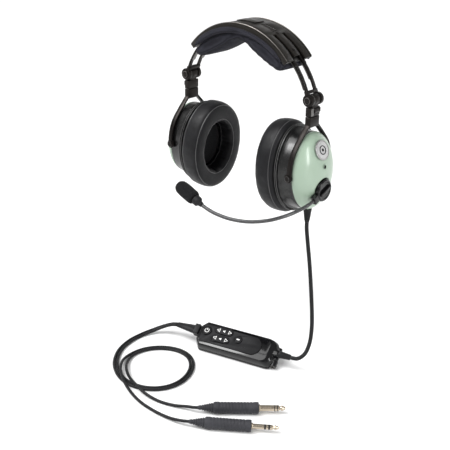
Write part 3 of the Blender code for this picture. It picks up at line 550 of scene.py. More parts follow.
def block(low, high, matrix=LEFT, bevel=0.4):
    """A box between two corners in millimetres, with rounded edges."""
    work = bmesh.new()
    bmesh.ops.create_cube(work, size=1.0)
    size = [(b - a) * MM for a, b in zip(low, high)]
    middle = [(a + b) / 2 * MM for a, b in zip(low, high)]
    bmesh.ops.scale(work, vec=size, verts=work.verts)
    bmesh.ops.translate(work, vec=middle, verts=work.verts)
    if bevel:
        bmesh.ops.bevel(work, geom=work.edges[:], offset=bevel * MM, segments=3, affect="EDGES", profile=0.5)
    mesh = bpy.data.meshes.new("block")
    work.to_mesh(mesh)
    work.free()
    mesh.transform(matrix)
    return mesh


def axis_matrix(point, direction):
    turn = Vector((0, 0, 1)).rotation_difference(Vector(direction).normalized())
    return Matrix.Translation(Vector(point)) @ turn.to_matrix().to_4x4()


def cut_from(mesh, cutter):
    """The mesh less the cutter, by an exact Boolean."""
    obj = bpy.data.objects.new("work", mesh)
    other = bpy.data.objects.new("cutter", cutter)
    for item in (obj, other):
        bpy.context.scene.collection.objects.link(item)
    modifier = obj.modifiers.new("cut", "BOOLEAN")
    modifier.operation = "DIFFERENCE"
    modifier.solver = "EXACT"
    modifier.object = other
    bpy.context.view_layer.update()
    made = bpy.data.meshes.new_from_object(obj.evaluated_get(bpy.context.evaluated_depsgraph_get()))
    bpy.data.objects.remove(obj)
    bpy.data.objects.remove(other)
    return made


def on_arc(radius, degrees, y):
    """A point on the headband, radius and y in millimetres."""
    angle = math.radians(degrees)
    return Vector((radius * MM * math.sin(angle), y * MM, ARC_Z + radius * MM * math.cos(angle)))


def arc_matrix(radius, degrees, y):
    """Local Z out of the band, local X along it."""
    return Matrix.Translation(on_arc(radius, degrees, y)) @ Matrix.Rotation(math.radians(degrees), 4, "Y")


# ---------------------------------------------------------------- cords

main_route = smooth_route(MAIN_ROUTE, 3 * MM)
phones_route = smooth_route(beside(PAIR_ROUTE, TWIN_OFFSET) + LEG_A_ROUTE, 3 * MM)
mic_route = smooth_route(beside(PAIR_ROUTE, -TWIN_OFFSET) + LEG_B_ROUTE, 3 * MM)


def make_plug(name):
    """A ribbed boot and handle, and a contact with its insulator bands."""
    start, direction, radius, bands = PLUGS[name]
    place = axis_matrix(Vector(start) * MM, direction)
    profile = [(0.0, -1.2), (1.9, -1.2), (2.1, 0.0)]
    for i in range(6):
        low = 1.0 + i * 2.4
        size = 2.5 + i * 0.5
        profile += [(size, low), (size + 0.1, low + 1.5), (size - 0.45, low + 1.6), (size - 0.35, low + 2.3)]
    profile += [(5.3, 15.6), (6.2, 16.6), (6.4, 20.0)]
    for i in range(11):
        low = 22.0 + i * 3.4
        profile += [(6.2, low), (5.8, low + 0.5), (5.8, low + 1.4), (6.2, low + 1.9)]
    profile += [(6.3, 60.5), (6.35, 62.0), (5.9, 63.3), (0.0, 63.4)]
    handle = new_piece(name + "_plug_handle_shape", lathe(profile, place, False, 0.25, 40), CHARCOAL,
                       "hanger_left")
    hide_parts(name + "_plug_handle")
    tip = radius
    profile = [(0, 63.6), (tip + 0.9, 63.6), (tip + 0.9, 64.6), (tip, 64.9), (tip, 84.6), (tip * 0.55, 85.8),
               (tip * 0.95, 87.8), (tip * 0.45, 91.4), (0, 91.8)]
    contact = new_piece(name + "_plug_contact_shape", lathe(profile, place, False, 0.35, 40), "nickel",
                        "hanger_left")
    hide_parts(name + "_plug_contact")
    rings = []
    for low, wide in bands:
        profile = [(tip - 0.3, low), (tip + 0.05, low), (tip + 0.05, low + wide), (tip - 0.3, low + wide)]
        rings.append(lathe(profile, place, True, 0.05, 32))
    new_piece(name + "_plug_insulators", merged(rings), INSULATOR, "hanger_left")
    return [handle]


def make_cords():
    plugs = {name: make_plug(name) for name in PLUGS}
    main = new_piece("main_cord_shape", tube(main_route, MAIN_CORD_RADIUS * MM, 20), "rubber", None)
    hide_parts("main_cord")
    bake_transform(main)
    for name, route in (("phones", phones_route), ("mic", mic_route)):
        leg = new_piece(name + "_cord_shape", tube(route, TWIN_CORD_RADIUS * MM, 14), "rubber", "hanger_left")
        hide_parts(name + "_cord")


make_cords()

# ---------------------------------------------------------------- CAD nodes kept as they are


def dress(node, look, bevel=0.25):
    """Gives a CAD node its material and softened edges, through modifiers only."""
    obj = NODES[node]
    obj.data.materials.clear()
    obj.data.materials.append(LOOKS[look] if isinstance(look, str) else look)
    for polygon in obj.data.polygons:
        polygon.use_smooth = True
    weld = obj.modifiers.new("weld", "WELD")
    weld.merge_threshold = 0.004 * MM
    rim = obj.modifiers.new("rim", "BEVEL")
    rim.limit_method = "ANGLE"
    rim.angle_limit = math.radians(34)
    rim.width = bevel * MM
    rim.segments = 2
    rim.harden_normals = True


SLOT_OF = {row["node"]: row["material_slot"] for row in frame["record"]["subparts"]}
for node_name in NODES:
    if node_name in SLOT_OF:
        dress(node_name, SLOT_OF[node_name])

# ---------------------------------------------------------------- soft pieces

CLOTH_PRESSURE = 4.0
CLOTH_FRAMES = 20


def swollen(mesh, voxel, cap):
    """The mesh remeshed and blown up as cloth over foam. No point moves more than cap millimetres."""
    obj = bpy.data.objects.new("soft", mesh)
    bpy.context.scene.collection.objects.link(obj)
    remesh = obj.modifiers.new("remesh", "REMESH")
    remesh.mode = "VOXEL"
    remesh.voxel_size = voxel * MM
    bpy.context.view_layer.update()
    base = bpy.data.meshes.new_from_object(obj.evaluated_get(bpy.context.evaluated_depsgraph_get()))
    obj.modifiers.clear()
    obj.data = base
    cloth = obj.modifiers.new("cloth", "CLOTH")
    cloth.settings.use_pressure = True
    cloth.settings.uniform_pressure_force = CLOTH_PRESSURE
    cloth.settings.effector_weights.gravity = 0
    cloth.settings.quality = 4
    cloth.point_cache.frame_end = CLOTH_FRAMES
    for step in range(1, CLOTH_FRAMES + 1):
        bpy.context.scene.frame_set(step)
    grown = bpy.data.meshes.new_from_object(obj.evaluated_get(bpy.context.evaluated_depsgraph_get()))
    for old, new in zip(base.vertices, grown.vertices):
        shift = new.co - old.co
        if shift.length > cap * MM:
            shift = shift.normalized() * cap * MM
        old.co = old.co + shift
    bpy.context.scene.frame_set(1)
    obj.modifiers.clear()
    smooth = obj.modifiers.new("smooth", "SMOOTH")
    smooth.iterations = 4
    finer = obj.modifiers.new("finer", "SUBSURF")
    finer.levels = 1
    finer.render_levels = 1
    bpy.context.view_layer.update()
    made = bpy.data.meshes.new_from_object(obj.evaluated_get(bpy.context.evaluated_depsgraph_get()))
    bpy.data.objects.remove(obj)
    return made


def on_skin(mesh, route, thickness, closed=False):
    """A bead that follows a route along the surface of a soft piece."""
    skin = BVHTree.FromPolygons([v.co for v in mesh.vertices], [tuple(f.vertices) for f in mesh.polygons])
    return tube([skin.find_nearest(place)[0] for place in route], thickness * MM, 8, closed)


def around(radius, height, steps=120):
    """Points round an ear cup at one radius and height, in millimetres."""
    turns = [math.tau * i / steps for i in range(steps)]
    return [CUP_ROUND @ (Vector((radius * math.cos(a), radius * CUP_OVAL * math.sin(a), height)) * MM)
            for a in turns]


SEAL = [(29.4, -39.0), (30.6, -43.4), (33.0, -44.6), (48.6, -44.6), (51.2, -43.4), (53.2, -38.6),
        (53.4, -27.0), (51.8, -21.4), (48.6, -19.2), (34.4, -19.2), (31.2, -22.0), (29.8, -29.0)]
SEAL_VOXEL = 2.7
SEAL_SWELL = 0.6
SEAL_SEAMS = ((33.6, -44.6), (50.9, -43.6), (53.2, -24.0), (30.2, -27.0))
GATHER_DEPTH = 1.2
GATHERS = 6.0


def wrinkled(mesh, place, depth, size):
    """Pulls fine folds, depth millimetres deep, into a seal: most of all across its inner wall."""
    back = place.inverted()
    for vertex in mesh.vertices:
        local = back @ vertex.co
        radius = math.hypot(local.x, local.y / CUP_OVAL) / MM
        inner = max(0.0, min(1.0, (36.0 - radius) / 4.0))
        away = Vector((local.x, local.y, 0)).normalized()
        fold = noise.noise(Vector((away.x * size, away.y * size, local.z / MM * 0.07)))
        vertex.co = place @ (local + away * fold * depth * MM * (0.14 + inner))
    return mesh


def make_seals():
    base = swollen(lathe(SEAL, CUP, True, 1.4, 72), SEAL_VOXEL, SEAL_SWELL)
    base = wrinkled(base, CUP_ROUND, GATHER_DEPTH, GATHERS)
    for side, turn in SIDES.items():
        seal = new_piece(side + "_ear_seal_cover", base.copy(), "leatherette", "cup_" + side, turn, 80)
        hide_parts(side + "_ear_seal")
        # Seam beads along the seal's edges: real piping, made lighter to paint the highlight on those edges.
        seams = merged([on_skin(base, around(radius, height), 0.42, True)
                        for radius, height in SEAL_SEAMS])
        new_piece(side + "_ear_seal_seams", seams, PIPING_AND_HIGHLIGHT, "cup_" + side, turn)
        foam = lathe([(0, -23.9), (28.6, -23.9), (28.6, -20.1), (0, -20.1)], CUP, False, 1.0, 64)
        foam_piece = new_piece(side + "_ear_foam_shape", foam, "foam", "cup_" + side, turn)
        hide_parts(side + "_ear_foam")


PAD_LOBE = [(65.4, 111.4), (61.6, 107.8), (55.0, 106.8), (44.0, 110.6), (32.0, 116.4), (20.0, 123.4),
            (8.0, 130.8)]
PAD_HALF_WIDTH = 21.6
PAD_VOXEL = 4.0
PAD_SWELL = 2.2
ROLL_END_DEG = 43.0
ROLL_LEAN_DEG = 12.0
WINDSCREEN_PORE = 1.4
WINDSCREEN_ROUGHNESS = 0.12


def pad_block():
    """The pad's closed form before it swells: a slab under the band, with two lobes."""
    top = [(on_arc(88.1, 44.2 - 88.4 * i / 24, 0).x / MM, on_arc(88.1, 44.2 - 88.4 * i / 24, 0).z / MM)
           for i in range(25)]
    outline = top + [(-x, z) for x, z in PAD_LOBE] + [(0.0, 133.0)] + [(x, z) for x, z in reversed(PAD_LOBE)]
    count = len(outline)
    points = [Vector((x, y, z)) * MM for y in (-PAD_HALF_WIDTH, PAD_HALF_WIDTH) for x, z in outline]
    faces = [tuple(range(count)), tuple(range(count, 2 * count))]
    faces += [(i, (i + 1) % count, (i + 1) % count + count, i + count) for i in range(count)]
    return mesh_of(points, faces)


def roll_radius(share, facing):
    """The pad roll's radius along its length: thicker over one lobe, and tapered at both ends."""
    lean = facing * math.tanh((2 * share - 1) * ROLL_END_DEG / ROLL_LEAN_DEG)
    return (2.9 + 0.5 * lean) * MM * min(1.0, 0.25 + 9.0 * min(share, 1.0 - share))


def make_pad():
    mesh = swollen(pad_block(), PAD_VOXEL, PAD_SWELL)
    pad = new_piece("head_pad_cushion", mesh, "pad_fabric", "crown", smooth_deg=80)
    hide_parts("head_pad")
    seams = []
    for y in (-22.0, 22.0):
        edge = [(-x, z) for x, z in PAD_LOBE] + [(0.0, 132.6)] + PAD_LOBE[::-1]
        route = smooth_route([Vector((x, y, z)) for x, z in edge], 1.5 * MM)
        seams.append(on_skin(mesh, route, 0.5))
    seams.append(on_skin(mesh, [Vector((0, y, 132.0)) * MM for y in range(-20, 21)], 0.5))
    new_piece("head_pad_piping", merged(seams), THREAD, "crown")
    rolls = []
    for facing in (-1, 1):
        route = []
        for i in range(61):
            degrees = (i / 30 - 1) * ROLL_END_DEG
            lean = facing * math.tanh(degrees / ROLL_LEAN_DEG)
            route.append(on_arc(89.0 + 0.6 * lean, degrees, facing * 22.5))
        rolls.append(tube(route, partial(roll_radius, facing=facing), 14))
    roll = new_piece("head_pad_rolls", merged(rolls), "pad_fabric", "crown")


def make_windscreen():
    place = axis_matrix(Vector(MIC_START) * MM, Vector(MIC_END) - Vector(MIC_START))
    profile = [(4.7, 12.4), (6.9, 12.3), (7.9, 15.0), (8.0, 22.0), (8.0, 30.0), (7.4, 35.0), (5.4, 38.4),
               (2.6, 39.7), (0.0, 39.95), (0.0, 28.2), (4.7, 28.2)]
    mesh = lathe(profile, place, True, 1.6, 64)
    for vertex in mesh.vertices:
        spot = vertex.co / (WINDSCREEN_PORE * MM)
        shift = Vector([noise.noise(spot + Vector((k, 0, 0))) for k in (0, 7, 14)])
        vertex.co += shift * WINDSCREEN_ROUGHNESS * MM
    screen = new_piece("windscreen_foam", mesh, "foam", "boom", smooth_deg=80)
    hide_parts("windscreen")


make_seals()
make_pad()
make_windscreen()

# ---------------------------------------------------------------- ear cups

DOME = [(0, 19.2), (9.5, 18.6), (19.5, 16.4), (29.0, 12.6), (36.5, 8.2), (40.4, 4.6), (41.2, 2.0),
        (43.6, 2.0), (43.9, 4.2), (42.2, 7.3), (38.5, 11.3), (31.0, 15.7), (21.0, 18.95), (10.0, 20.7),
        (0, 21.2)]
SEAL_PLATE = [(33.2, -18.6), (48.8, -18.6), (49.5, -17.4), (47.8, -16.7), (47.8, -16.3), (49.3, -15.7),
              (49.2, -14.6), (33.2, -14.6)]
SHELL = [(33.2, -14.2), (47.2, -14.2), (45.7, -12.6), (45.1, -9.0), (44.3, -3.0), (44.0, 1.6), (42.0, 1.6),
         (42.2, -3.0), (42.6, -11.6), (33.2, -11.6)]
KNOB_SEAT_X = 105.9
KNOB_SEAT_RADIUS = 14.2
BADGE_FACING = (0.93, -0.03, 0.365)


def boom_arm_turn(raised=0.0):
    """Local Y along the boom's arm, raised by some degrees from its place at rest."""
    middle = Matrix.Translation(Vector((0, BOOM_PIVOT[1], BOOM_PIVOT[2])) * MM)
    return middle @ Matrix.Rotation(math.radians(BOOM_ARM_DEG - raised), 4, "X")


def make_cup(side, turn):
    body = "cup_" + side
    dome = lathe(DOME, CUP, False, 4.0, 112)
    if side == "left":
        seat = lathe([(0, 0), (KNOB_SEAT_RADIUS, 0), (KNOB_SEAT_RADIUS, 12), (0, 12)],
                     axis_matrix(Vector((KNOB_SEAT_X, 0, BOOM_PIVOT[2])) * MM, (1, 0, 0)), False, 0.2, 64)
        dome = cut_from(dome, seat)
        for raised in (2.0, 5.0, 8.5):
            arm_way = block((KNOB_SEAT_X, 1.0, -4.6), (114.0, 23.0, 4.6), boom_arm_turn(raised), 0.3)
            dome = cut_from(dome, arm_way)
    piece = new_piece(side + "_dome_shape", dome, "sage_paint", body, turn, 35)
    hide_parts(side + "_dome")
    plate = new_piece(side + "_seal_plate_shape", lathe(SEAL_PLATE, CUP, True, 0.3), "shell_plastic", body,
                      turn)
    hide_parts(side + "_seal_plate")
    if side == "right":
        shell = new_piece(side + "_shell_shape", lathe(SHELL, CUP, True, 0.8), "shell_plastic", body, turn)
        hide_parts(side + "_cup_shell")
    # Thin light grey rings on the seal plate's grooves and the dome's edge: painted highlight lines.
    lines = merged([ring(49.35, -17.5, 0.22, CUP_ROUND), ring(49.2, -15.4, 0.22, CUP_ROUND),
                    ring(43.9, 1.75, 0.24, CUP_ROUND)])
    new_piece(side + "_cup_highlight_lines", lines, MARK_AND_HIGHLIGHT_GREY, body, turn)
    slope = Vector(BADGE_FACING).normalized()
    place = axis_matrix((104.4 * MM, -1 * MM, 26.9 * MM), slope)
    disc_mesh = lathe([(0, 0.1), (10.4, -0.4), (11.2, 0.2), (10.7, 1.0), (0, 1.4)], place, False, 0.35, 64)
    disc = new_piece(side + "_badge_disc", disc_mesh, "badge", body, turn)
    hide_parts(side + "_badge")
    # Light metal rings on the badge's rim: painted highlight.
    rim = merged([ring(9.9, 1.12, 0.2, place, 64, False), ring(11.0, 0.6, 0.2, place, 64, False)])
    new_piece(side + "_badge_rim_highlights", rim, HIGHLIGHT_METAL, body, turn)
    dot = lathe([(0, 1.2), (1.7, 1.2), (1.7, 1.5), (0, 1.55)], place, False, 0.1, 32)
    mark = merged([ring(4.6, 1.3, 0.5, place, 48, False), dot])
    new_piece(side + "_badge_mark", mark, DEEP_BLACK, body, turn)
    vent_place = axis_matrix((109.0 * MM, 0, 8.6 * MM), (0.99, 0, 0.14))
    new_piece(side + "_vent_rim", ring(2.9, 0.15, 0.35, vent_place, 32), "sage_paint", body, turn)
    vent = lathe([(0, -0.4), (1.9, -0.4), (1.9, 0.22), (0, 0.22)], vent_place, False, 0.1, 32)
    new_piece(side + "_vent", vent, DEEP_BLACK, body, turn)
    # Thin light grey rings round the pivot screws: painted highlight on the screw rims.
    screws = []
    for facing in (-1, 1):
        place = axis_matrix(Vector((88, facing * 40.05, 0)) * MM, (0, facing, 0))
        screws.append(ring(3.0, 0, 0.15, place, 24, False))
    new_piece(side + "_pivot_highlight_rims", merged(screws), MARK_AND_HIGHLIGHT_GREY, "yoke_" + side, turn)


for cup_side, cup_turn in SIDES.items():
    make_cup(cup_side, cup_turn)


def make_strain_relief():
    place = Matrix.Translation((89.5 * MM, 0, 0))
    profile = [(0.0, -45.2), (4.8, -45.2)]
    for i in range(6):
        low = -46.2 - i * 2.3
        size = 4.75 - i * 0.28
        profile += [(size, low), (size - 0.1, low - 1.3), (size - 0.75, low - 1.5), (size - 0.8, low - 2.1)]
    profile += [(2.9, -60.8), (0.0, -61.0)]
    relief = new_piece("strain_relief_boot", lathe(profile, place, False, 0.2, 40), "rubber", None)
    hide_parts("strain_relief")
    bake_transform(relief)


make_strain_relief()

# ---------------------------------------------------------------- boom microphone


def make_boom():
    route = smooth_route(BOOM_ROUTE, 2.2 * MM)
    boom = new_piece("boom_sleeve", tube(route, 2.0 * MM, 18), "boom_sleeve", "boom")
    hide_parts("boom_tube")
    rings = []
    for i in range(4, len(route) - 4):
        direction = (route[i + 1] - route[i - 1]).normalized()
        rings.append(ring(2.0, 0, 0.16, axis_matrix(route[i], direction), 18, False))
    new_piece("boom_sleeve_ribs", merged(rings), "boom_sleeve", "boom")
    place = axis_matrix(Vector(MIC_START) * MM, Vector(MIC_END) - Vector(MIC_START))
    profile = [(0, 0.6), (2.6, 0.6), (3.3, 4.8), (5.4, 6.0), (5.6, 8.2), (5.35, 8.5), (5.35, 8.9),
               (5.6, 9.2), (5.6, 11.0), (4.2, 12.0), (4.2, 27.0), (0, 27.0)]
    mic = new_piece("mic_capsule", lathe(profile, place, False, 0.4, 48), "rubber", "boom")
    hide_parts("mic_body")
    knob_place = axis_matrix(Vector(BOOM_PIVOT) * MM, (1, 0, 0))
    profile = [(0, 0), (12.3, 0), (12.6, 0.9), (12.2, 1.7), (11.2, 2.6), (9.6, 2.5), (9.2, 1.9), (0, 1.9)]
    knob = merged([lathe(profile, knob_place, False, 0.35, 72),
                   block((110.6, -9.3, -1.7), (113.5, 9.3, 1.7), boom_arm_turn(), 0.8)])
    knob_piece = new_piece("boom_knob_shape", knob, "gloss_black", "boom")
    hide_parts("boom_knob")
    ridges = []
    for i in range(36):
        angle = math.tau * i / 36
        spot = Vector((109.9, 12.45 * math.cos(angle), BOOM_PIVOT[2] + 12.45 * math.sin(angle))) * MM
        ridges.append(tube([spot - Vector((0.7 * MM, 0, 0)), spot + Vector((0.7 * MM, 0, 0))], 0.25 * MM, 6))
    new_piece("boom_knob_ridges", merged(ridges), "gloss_black", "boom")


make_boom()

# ---------------------------------------------------------------- headband details


RATCHET_RADIUS = 96.0


def hinge_end(distance, facing):
    """Local Z out of one end of the left fold hinge, distance millimetres from its middle."""
    return axis_matrix(Vector((HINGE_X, facing * distance, HINGE_Z)) * MM, (0, facing, 0))


def make_headband_details():
    teeth = []
    for side in (-1, 1):
        for i in range(6):
            place = arc_matrix(RATCHET_RADIUS, side * (11.6 + i * 1.6), 0)
            teeth.append(block((-0.45, -3.6, 0), (0.45, 3.6, 0.7), place, 0.2))
    # The teeth are in the light highlight metal, set against the painted shade of the recess below.
    new_piece("ratchet_teeth", merged(teeth), HIGHLIGHT_METAL, "crown")
    # Deep black strips under the teeth: painted shade in the ratchet recess.
    shade_strips = [tube([on_arc(95.75, side * a, y) for a in (10.9, 13.0, 15.5, 18.0, 20.6)], 0.45 * MM, 8)
              for side in (-1, 1) for y in (-3.5, -2.5, -1.5, -0.5, 0.5, 1.5, 2.5, 3.5)]
    new_piece("ratchet_recess_painted_shade", merged(shade_strips), DEEP_BLACK, "crown")
    screws = []
    for side in (-1, 1):
        for degrees in (23.0, 39.0):
            place = arc_matrix(RATCHET_RADIUS if degrees < 30 else 94.9, side * degrees, 0)
            profile = [(0, 0), (2.1, 0), (2.1, 0.7), (1.5, 1.0), (0.9, 1.0), (0.8, 0.5), (0, 0.5)]
            screws.append(lathe(profile, place, False, 0.15, 32))
    new_piece("crown_screws", merged(screws), "dark_metal", "crown")
    lips = []
    # Light metal beads along the crown cover's front and back edges: painted highlight on the edges.
    for y in (-22.0, 22.0):
        lips.append(tube([on_arc(94.9 + 2.3 * math.cos(math.radians(a * 1.94)), a, y * 0.985)
                          for a in [-46 + 92 * i / 60 for i in range(61)]], 0.42 * MM, 8))
    new_piece("crown_edge_highlight_beads", merged(lips), HIGHLIGHT_METAL, "crown")
    for side, turn in SIDES.items():
        body = "hanger_" + side
        notches = []
        for edge in (-9.4, 9.4):
            for i in range(9):
                place = arc_matrix(92.4, 50 + i * 1.9, edge)
                notches.append(block((-0.3, -0.35, 0), (0.3, 0.35, 0.25), place, 0.08))
        new_piece(side + "_rail_marks", merged(notches), MARK_AND_HIGHLIGHT_GREY, body, turn)
        pins, heads = [], []
        profile = [(0, 0.1), (1.5, 0.1), (1.5, 0.32), (2.6, 0.32), (2.6, 0), (0, -0.1)]
        for facing in (-1, 1):
            pins.append(lathe(profile, hinge_end(11.1, facing), False, 0.08, 24))
            # Light metal rings round the hinge pin heads: painted highlight on the heads' rims.
            heads.append(ring(3.5, 0.05, 0.22, hinge_end(11.4, facing), 32, False))
        new_piece(side + "_hinge_sockets", merged(pins), "dark_metal", body, turn)
        new_piece(side + "_hinge_head_highlight_rims", merged(heads), HIGHLIGHT_METAL, body, turn)
        clip = merged([block((92.2, -7.6, 62.6), (92.7, -3.2, 71.0), LEFT, 0.2),
                       block((92.6, -1.4, 66.2), (93.6, 7.6, 66.7), LEFT, 0.15)])
        new_piece(side + "_link_clip", clip, "spring_steel", "link_" + side, turn)


make_headband_details()

# ---------------------------------------------------------------- control module details

KEY_TOP = 2.1
DOOR_HINGE_X = 51.0
DOOR_HINGE_Z = -10.6
NEAR_KNUCKLE_END = -13.8
MODULE_ALONG = MODULE.to_3x3() @ Vector((1, 0, 0))
MODULE_ACROSS = MODULE.to_3x3() @ Vector((0, 1, 0))
ROCKERS = {"earphone_rocker": (-17.2, 7.6), "phone_rocker": (-17.8, -3.2)}


def flat_mark(outlines, x, y, z):
    """Thin printed shapes on the module's top face, from outlines in millimetres."""
    meshes = []
    for outline in outlines:
        count = len(outline)
        points = [Vector((x + u, y + v, z + h)) * MM for h in (0.0, 0.08) for u, v in outline]
        faces = [tuple(range(count)), tuple(range(count, 2 * count))]
        faces += [(i, (i + 1) % count, (i + 1) % count + count, i + count) for i in range(count)]
        mesh = mesh_of(points, faces)
        mesh.transform(MODULE)
        meshes.append(mesh)
    return merged(meshes)


def oval(width, height, count=24):
    turns = [math.tau * i / count for i in range(count)]
    return [(width * math.cos(a), height * math.sin(a)) for a in turns]


def plan(x_low, x_high, half, chamfer, corner):
    """The module's outline seen from above: cut corners at the low end and round ones at the high end."""
    turns = [math.radians(90 * i / 5) for i in range(6)]
    near = [(x_high - corner + corner * math.sin(a), -half + corner - corner * math.cos(a)) for a in turns]
    far = [(x, -y) for x, y in reversed(near)]
    return [(x_low + chamfer, -half)] + near + far + [(x_low + chamfer, half), (x_low, half - chamfer * 1.2),
                                                      (x_low, -half + chamfer * 1.2)]


def lofted(levels):
    """A closed solid through outlines at several heights, with the corners of each one rounded."""
    points, faces = [], []
    for z, outline in levels:
        points += [Vector((x, y, z)) * MM for x, y in rounded(outline, 1.2, True)]
    count = len(points) // len(levels)
    for i in range(len(levels) - 1):
        faces += [(i * count + j, i * count + (j + 1) % count, (i + 1) * count + (j + 1) % count,
                   (i + 1) * count + j) for j in range(count)]
    faces += [tuple(range(count)), tuple(range((len(levels) - 1) * count, len(levels) * count))]
    mesh = mesh_of(points, faces)
    mesh.transform(MODULE)
    return mesh


def knuckle(low, high, radius):
    """A barrel on the axis of the module's hinge, from low to high across the module."""
    start = MODULE @ (Vector((DOOR_HINGE_X, low, DOOR_HINGE_Z)) * MM)
    profile = [(0, 0), (radius, 0), (radius, high - low), (0, high - low)]
    return lathe(profile, axis_matrix(start, MODULE_ACROSS), False, 0.4, 40)


def make_module_shells():
    upper = [(0.0, plan(-47.0, 42.0, 14.4, 5.5, 8.0)), (-0.5, plan(-48.0, 44.4, 15.3, 5.6, 8.5)),
             (-1.8, plan(-48.8, 47.0, 15.9, 5.8, 8.8)), (-4.6, plan(-49.6, 49.6, 16.5, 6.0, 9.0)),
             (-7.8, plan(-50.2, 51.0, 17.1, 6.2, 9.0)), (-9.2, plan(-50.2, 51.0, 17.0, 6.2, 9.0))]
    gland = block((44.0, -2.4, -8.2), (54.0, 5.8, -2.6), MODULE, 1.6)
    body = lofted(upper)
    for low, high, size in ((-19.0, -6.2, 4.4), (6.2, 11.4, 3.5)):
        body = cut_from(body, knuckle(low, high, size))
    housing = new_piece("module_upper_shell", merged([body, gland, knuckle(-5.9, 5.9, 3.2)]), "gloss_black",
                        "hanger_left")
    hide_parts("module_housing")
    lower = [(-9.6, plan(-50.0, 47.0, 17.2, 6.2, 4.0)), (-10.2, plan(-50.4, 47.2, 17.5, 6.2, 4.0)),
             (-12.8, plan(-50.2, 47.0, 17.5, 6.2, 4.0)), (-18.2, plan(-47.4, 44.6, 8.4, 4.0, 3.0)),
             (-19.7, plan(-46.0, 43.0, 5.4, 3.0, 2.4))]
    knuckles = [knuckle(NEAR_KNUCKLE_END, -6.4, 4.0), knuckle(6.4, 11.0, 3.1)]
    door = new_piece("module_lower_shell", merged([lofted(lower)] + knuckles), "gloss_black", "battery_door")
    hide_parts("battery_door")
    hinge_pin = new_piece("module_hinge_pin", knuckle(-13.6, 10.8, 1.2), "spring_steel", "hanger_left")
    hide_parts("door_pin")
    near_end = MODULE @ (Vector((DOOR_HINGE_X, NEAR_KNUCKLE_END, DOOR_HINGE_Z)) * MM)
    place = axis_matrix(near_end, -MODULE_ACROSS)
    pin = lathe([(0, -0.2), (1.3, -0.2), (1.3, 0.25), (0, 0.4)], place, False, 0.1, 24)
    new_piece("module_pin_end", pin, DEEP_BLACK, "battery_door")
    # Light metal ring at the knuckle's end: painted highlight on its rim.
    new_piece("module_knuckle_highlight_rim", ring(3.2, 0.05, 0.3, place, 32, False), HIGHLIGHT_METAL, "battery_door")
    # A light grey strip at the seam between the shells: painted highlight along the door's upper edge.
    strip = [(-9.55, plan(-49.6, 45.4, 16.9, 6.2, 6.0)), (-9.2, plan(-49.6, 45.4, 16.9, 6.2, 6.0))]
    new_piece("module_seam_highlight_strip", lofted(strip), MARK_AND_HIGHLIGHT_GREY, "hanger_left")


make_module_shells()


def make_module_details():
    corners = [(-9.8, 0.0), (-5.6, 2.5), (-5.6, -2.5)]
    arrows = []
    for turn in (1, -1):
        ends = [Vector((turn * u, v)) for u, v in corners]
        for a, b in zip(ends, ends[1:] + ends[:1]):
            middle = sum(ends, Vector((0, 0))) / 3
            arrows.append([a, b, b.lerp(middle, 0.36), a.lerp(middle, 0.36)])
    for body, (x, y) in ROCKERS.items():
        icon = [(-1.6, -0.7), (-0.4, -0.7), (1.0, -1.6), (1.0, 1.6), (-0.4, 0.7), (-1.6, 0.7)]
        new_piece(body + "_marks", flat_mark(arrows + [icon], x, y, 2.0), PRINT_WHITE, body)
    bar = [(-0.45, 0.3), (0.45, 0.3), (0.45, 3.0), (-0.45, 3.0)]
    power = []
    for i in range(10):
        low = math.radians(125 + 29 * i)
        high = math.radians(125 + 29 * (i + 1))
        corners = ((2.3, low), (2.3, high), (3.0, high), (3.0, low))
        power.append([(r * math.cos(a), r * math.sin(a)) for r, a in corners])
    new_piece("power_key_mark", flat_mark([bar] + power, -38.5, 3.3, KEY_TOP), PRINT_WHITE, "power_key")
    new_piece("round_key_mark", flat_mark([oval(2.1, 0.8)], 3.1, 2.2, KEY_TOP), PRINT_WHITE, "round_key")
    ribs = []
    for i in range(5):
        centre = MODULE @ (Vector((58.2 + i * 2.0, 1.7, -5.8)) * MM)
        ribs.append(ring(3.75 - i * 0.16, 0, 0.4, axis_matrix(centre, MODULE_ALONG), 32, False))
    new_piece("module_boot_ribs", merged(ribs), "rubber", "hanger_left")


make_module_details()

# ---------------------------------------------------------------- floor and light

FLOOR_Z = CAD_BOX[0].z - 0.1 * MM
FLOOR_RADIUS = 9000.0
FLOOR_RISE = 3000.0
WALL_HEIGHT = 5000.0


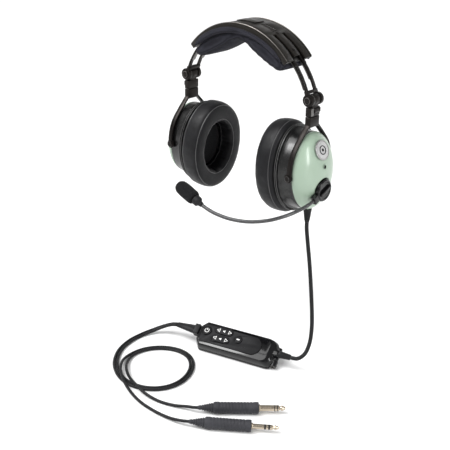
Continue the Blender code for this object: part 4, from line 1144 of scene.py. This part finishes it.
def make_stage():
    """One pale round floor whose far edge curves up into a wall, so that it fills every view."""
    turns = [math.radians(90 * i / 8) for i in range(9)]
    profile = [(0.0, 0.0)] + [(FLOOR_RADIUS + FLOOR_RISE * math.sin(a), FLOOR_RISE * (1 - math.cos(a)))
                              for a in turns] + [(FLOOR_RADIUS + FLOOR_RISE, WALL_HEIGHT)]
    mesh = lathe(profile, Matrix.Translation((0, 0, FLOOR_Z)), False, 0.0, 96)
    mesh.flip_normals()
    floor = bpy.data.objects.new("floor", mesh)
    bpy.context.scene.collection.objects.link(floor)
    look = Look("floor_paint", (0.86, 0.86, 0.86), 0.7)
    look.tint(look.noise(400), 0.99, 1.01)
    mesh.materials.append(look.material)
    mesh.shade_smooth()


def area_light(name, place, target, size, power):
    data = bpy.data.lights.new(name, "AREA")
    data.shape = "RECTANGLE"
    data.size, data.size_y = size
    data.energy = power
    light = bpy.data.objects.new(name, data)
    bpy.context.scene.collection.objects.link(light)
    light.location = place
    light.rotation_mode = "QUATERNION"
    light.rotation_quaternion = (Vector(target) - Vector(place)).to_track_quat("-Z", "Y")


SKY_STRENGTH = 0.42
SUN_STRENGTH = 2.9
SUN_SPREAD_DEG = 50
SUN_TILT_DEG = (28, -18, 0)


def make_light():
    """An even pale sky, a broad soft sun, and two area lights whose reflections shape the dark pieces."""
    world = bpy.data.worlds.new("studio")
    bpy.context.scene.world = world
    world.use_nodes = True
    background = world.node_tree.nodes["Background"]
    background.inputs["Color"].default_value = (1.0, 1.0, 1.0, 1.0)
    background.inputs["Strength"].default_value = SKY_STRENGTH
    sun_data = bpy.data.lights.new("sky", "SUN")
    sun_data.energy = SUN_STRENGTH
    sun_data.angle = math.radians(SUN_SPREAD_DEG)
    sun = bpy.data.objects.new("sky", sun_data)
    bpy.context.scene.collection.objects.link(sun)
    sun.rotation_euler = [math.radians(tilt) for tilt in SUN_TILT_DEG]
    area_light("key", (-0.7, -0.9, 1.3), (0, 0, 0), (0.5, 0.5), 11)
    area_light("side", (1.5, -0.1, 0.6), (0.05, 0, 0), (0.25, 1.0), 11)


make_stage()
make_light()
bpy.context.scene.view_settings.view_transform = "Standard"
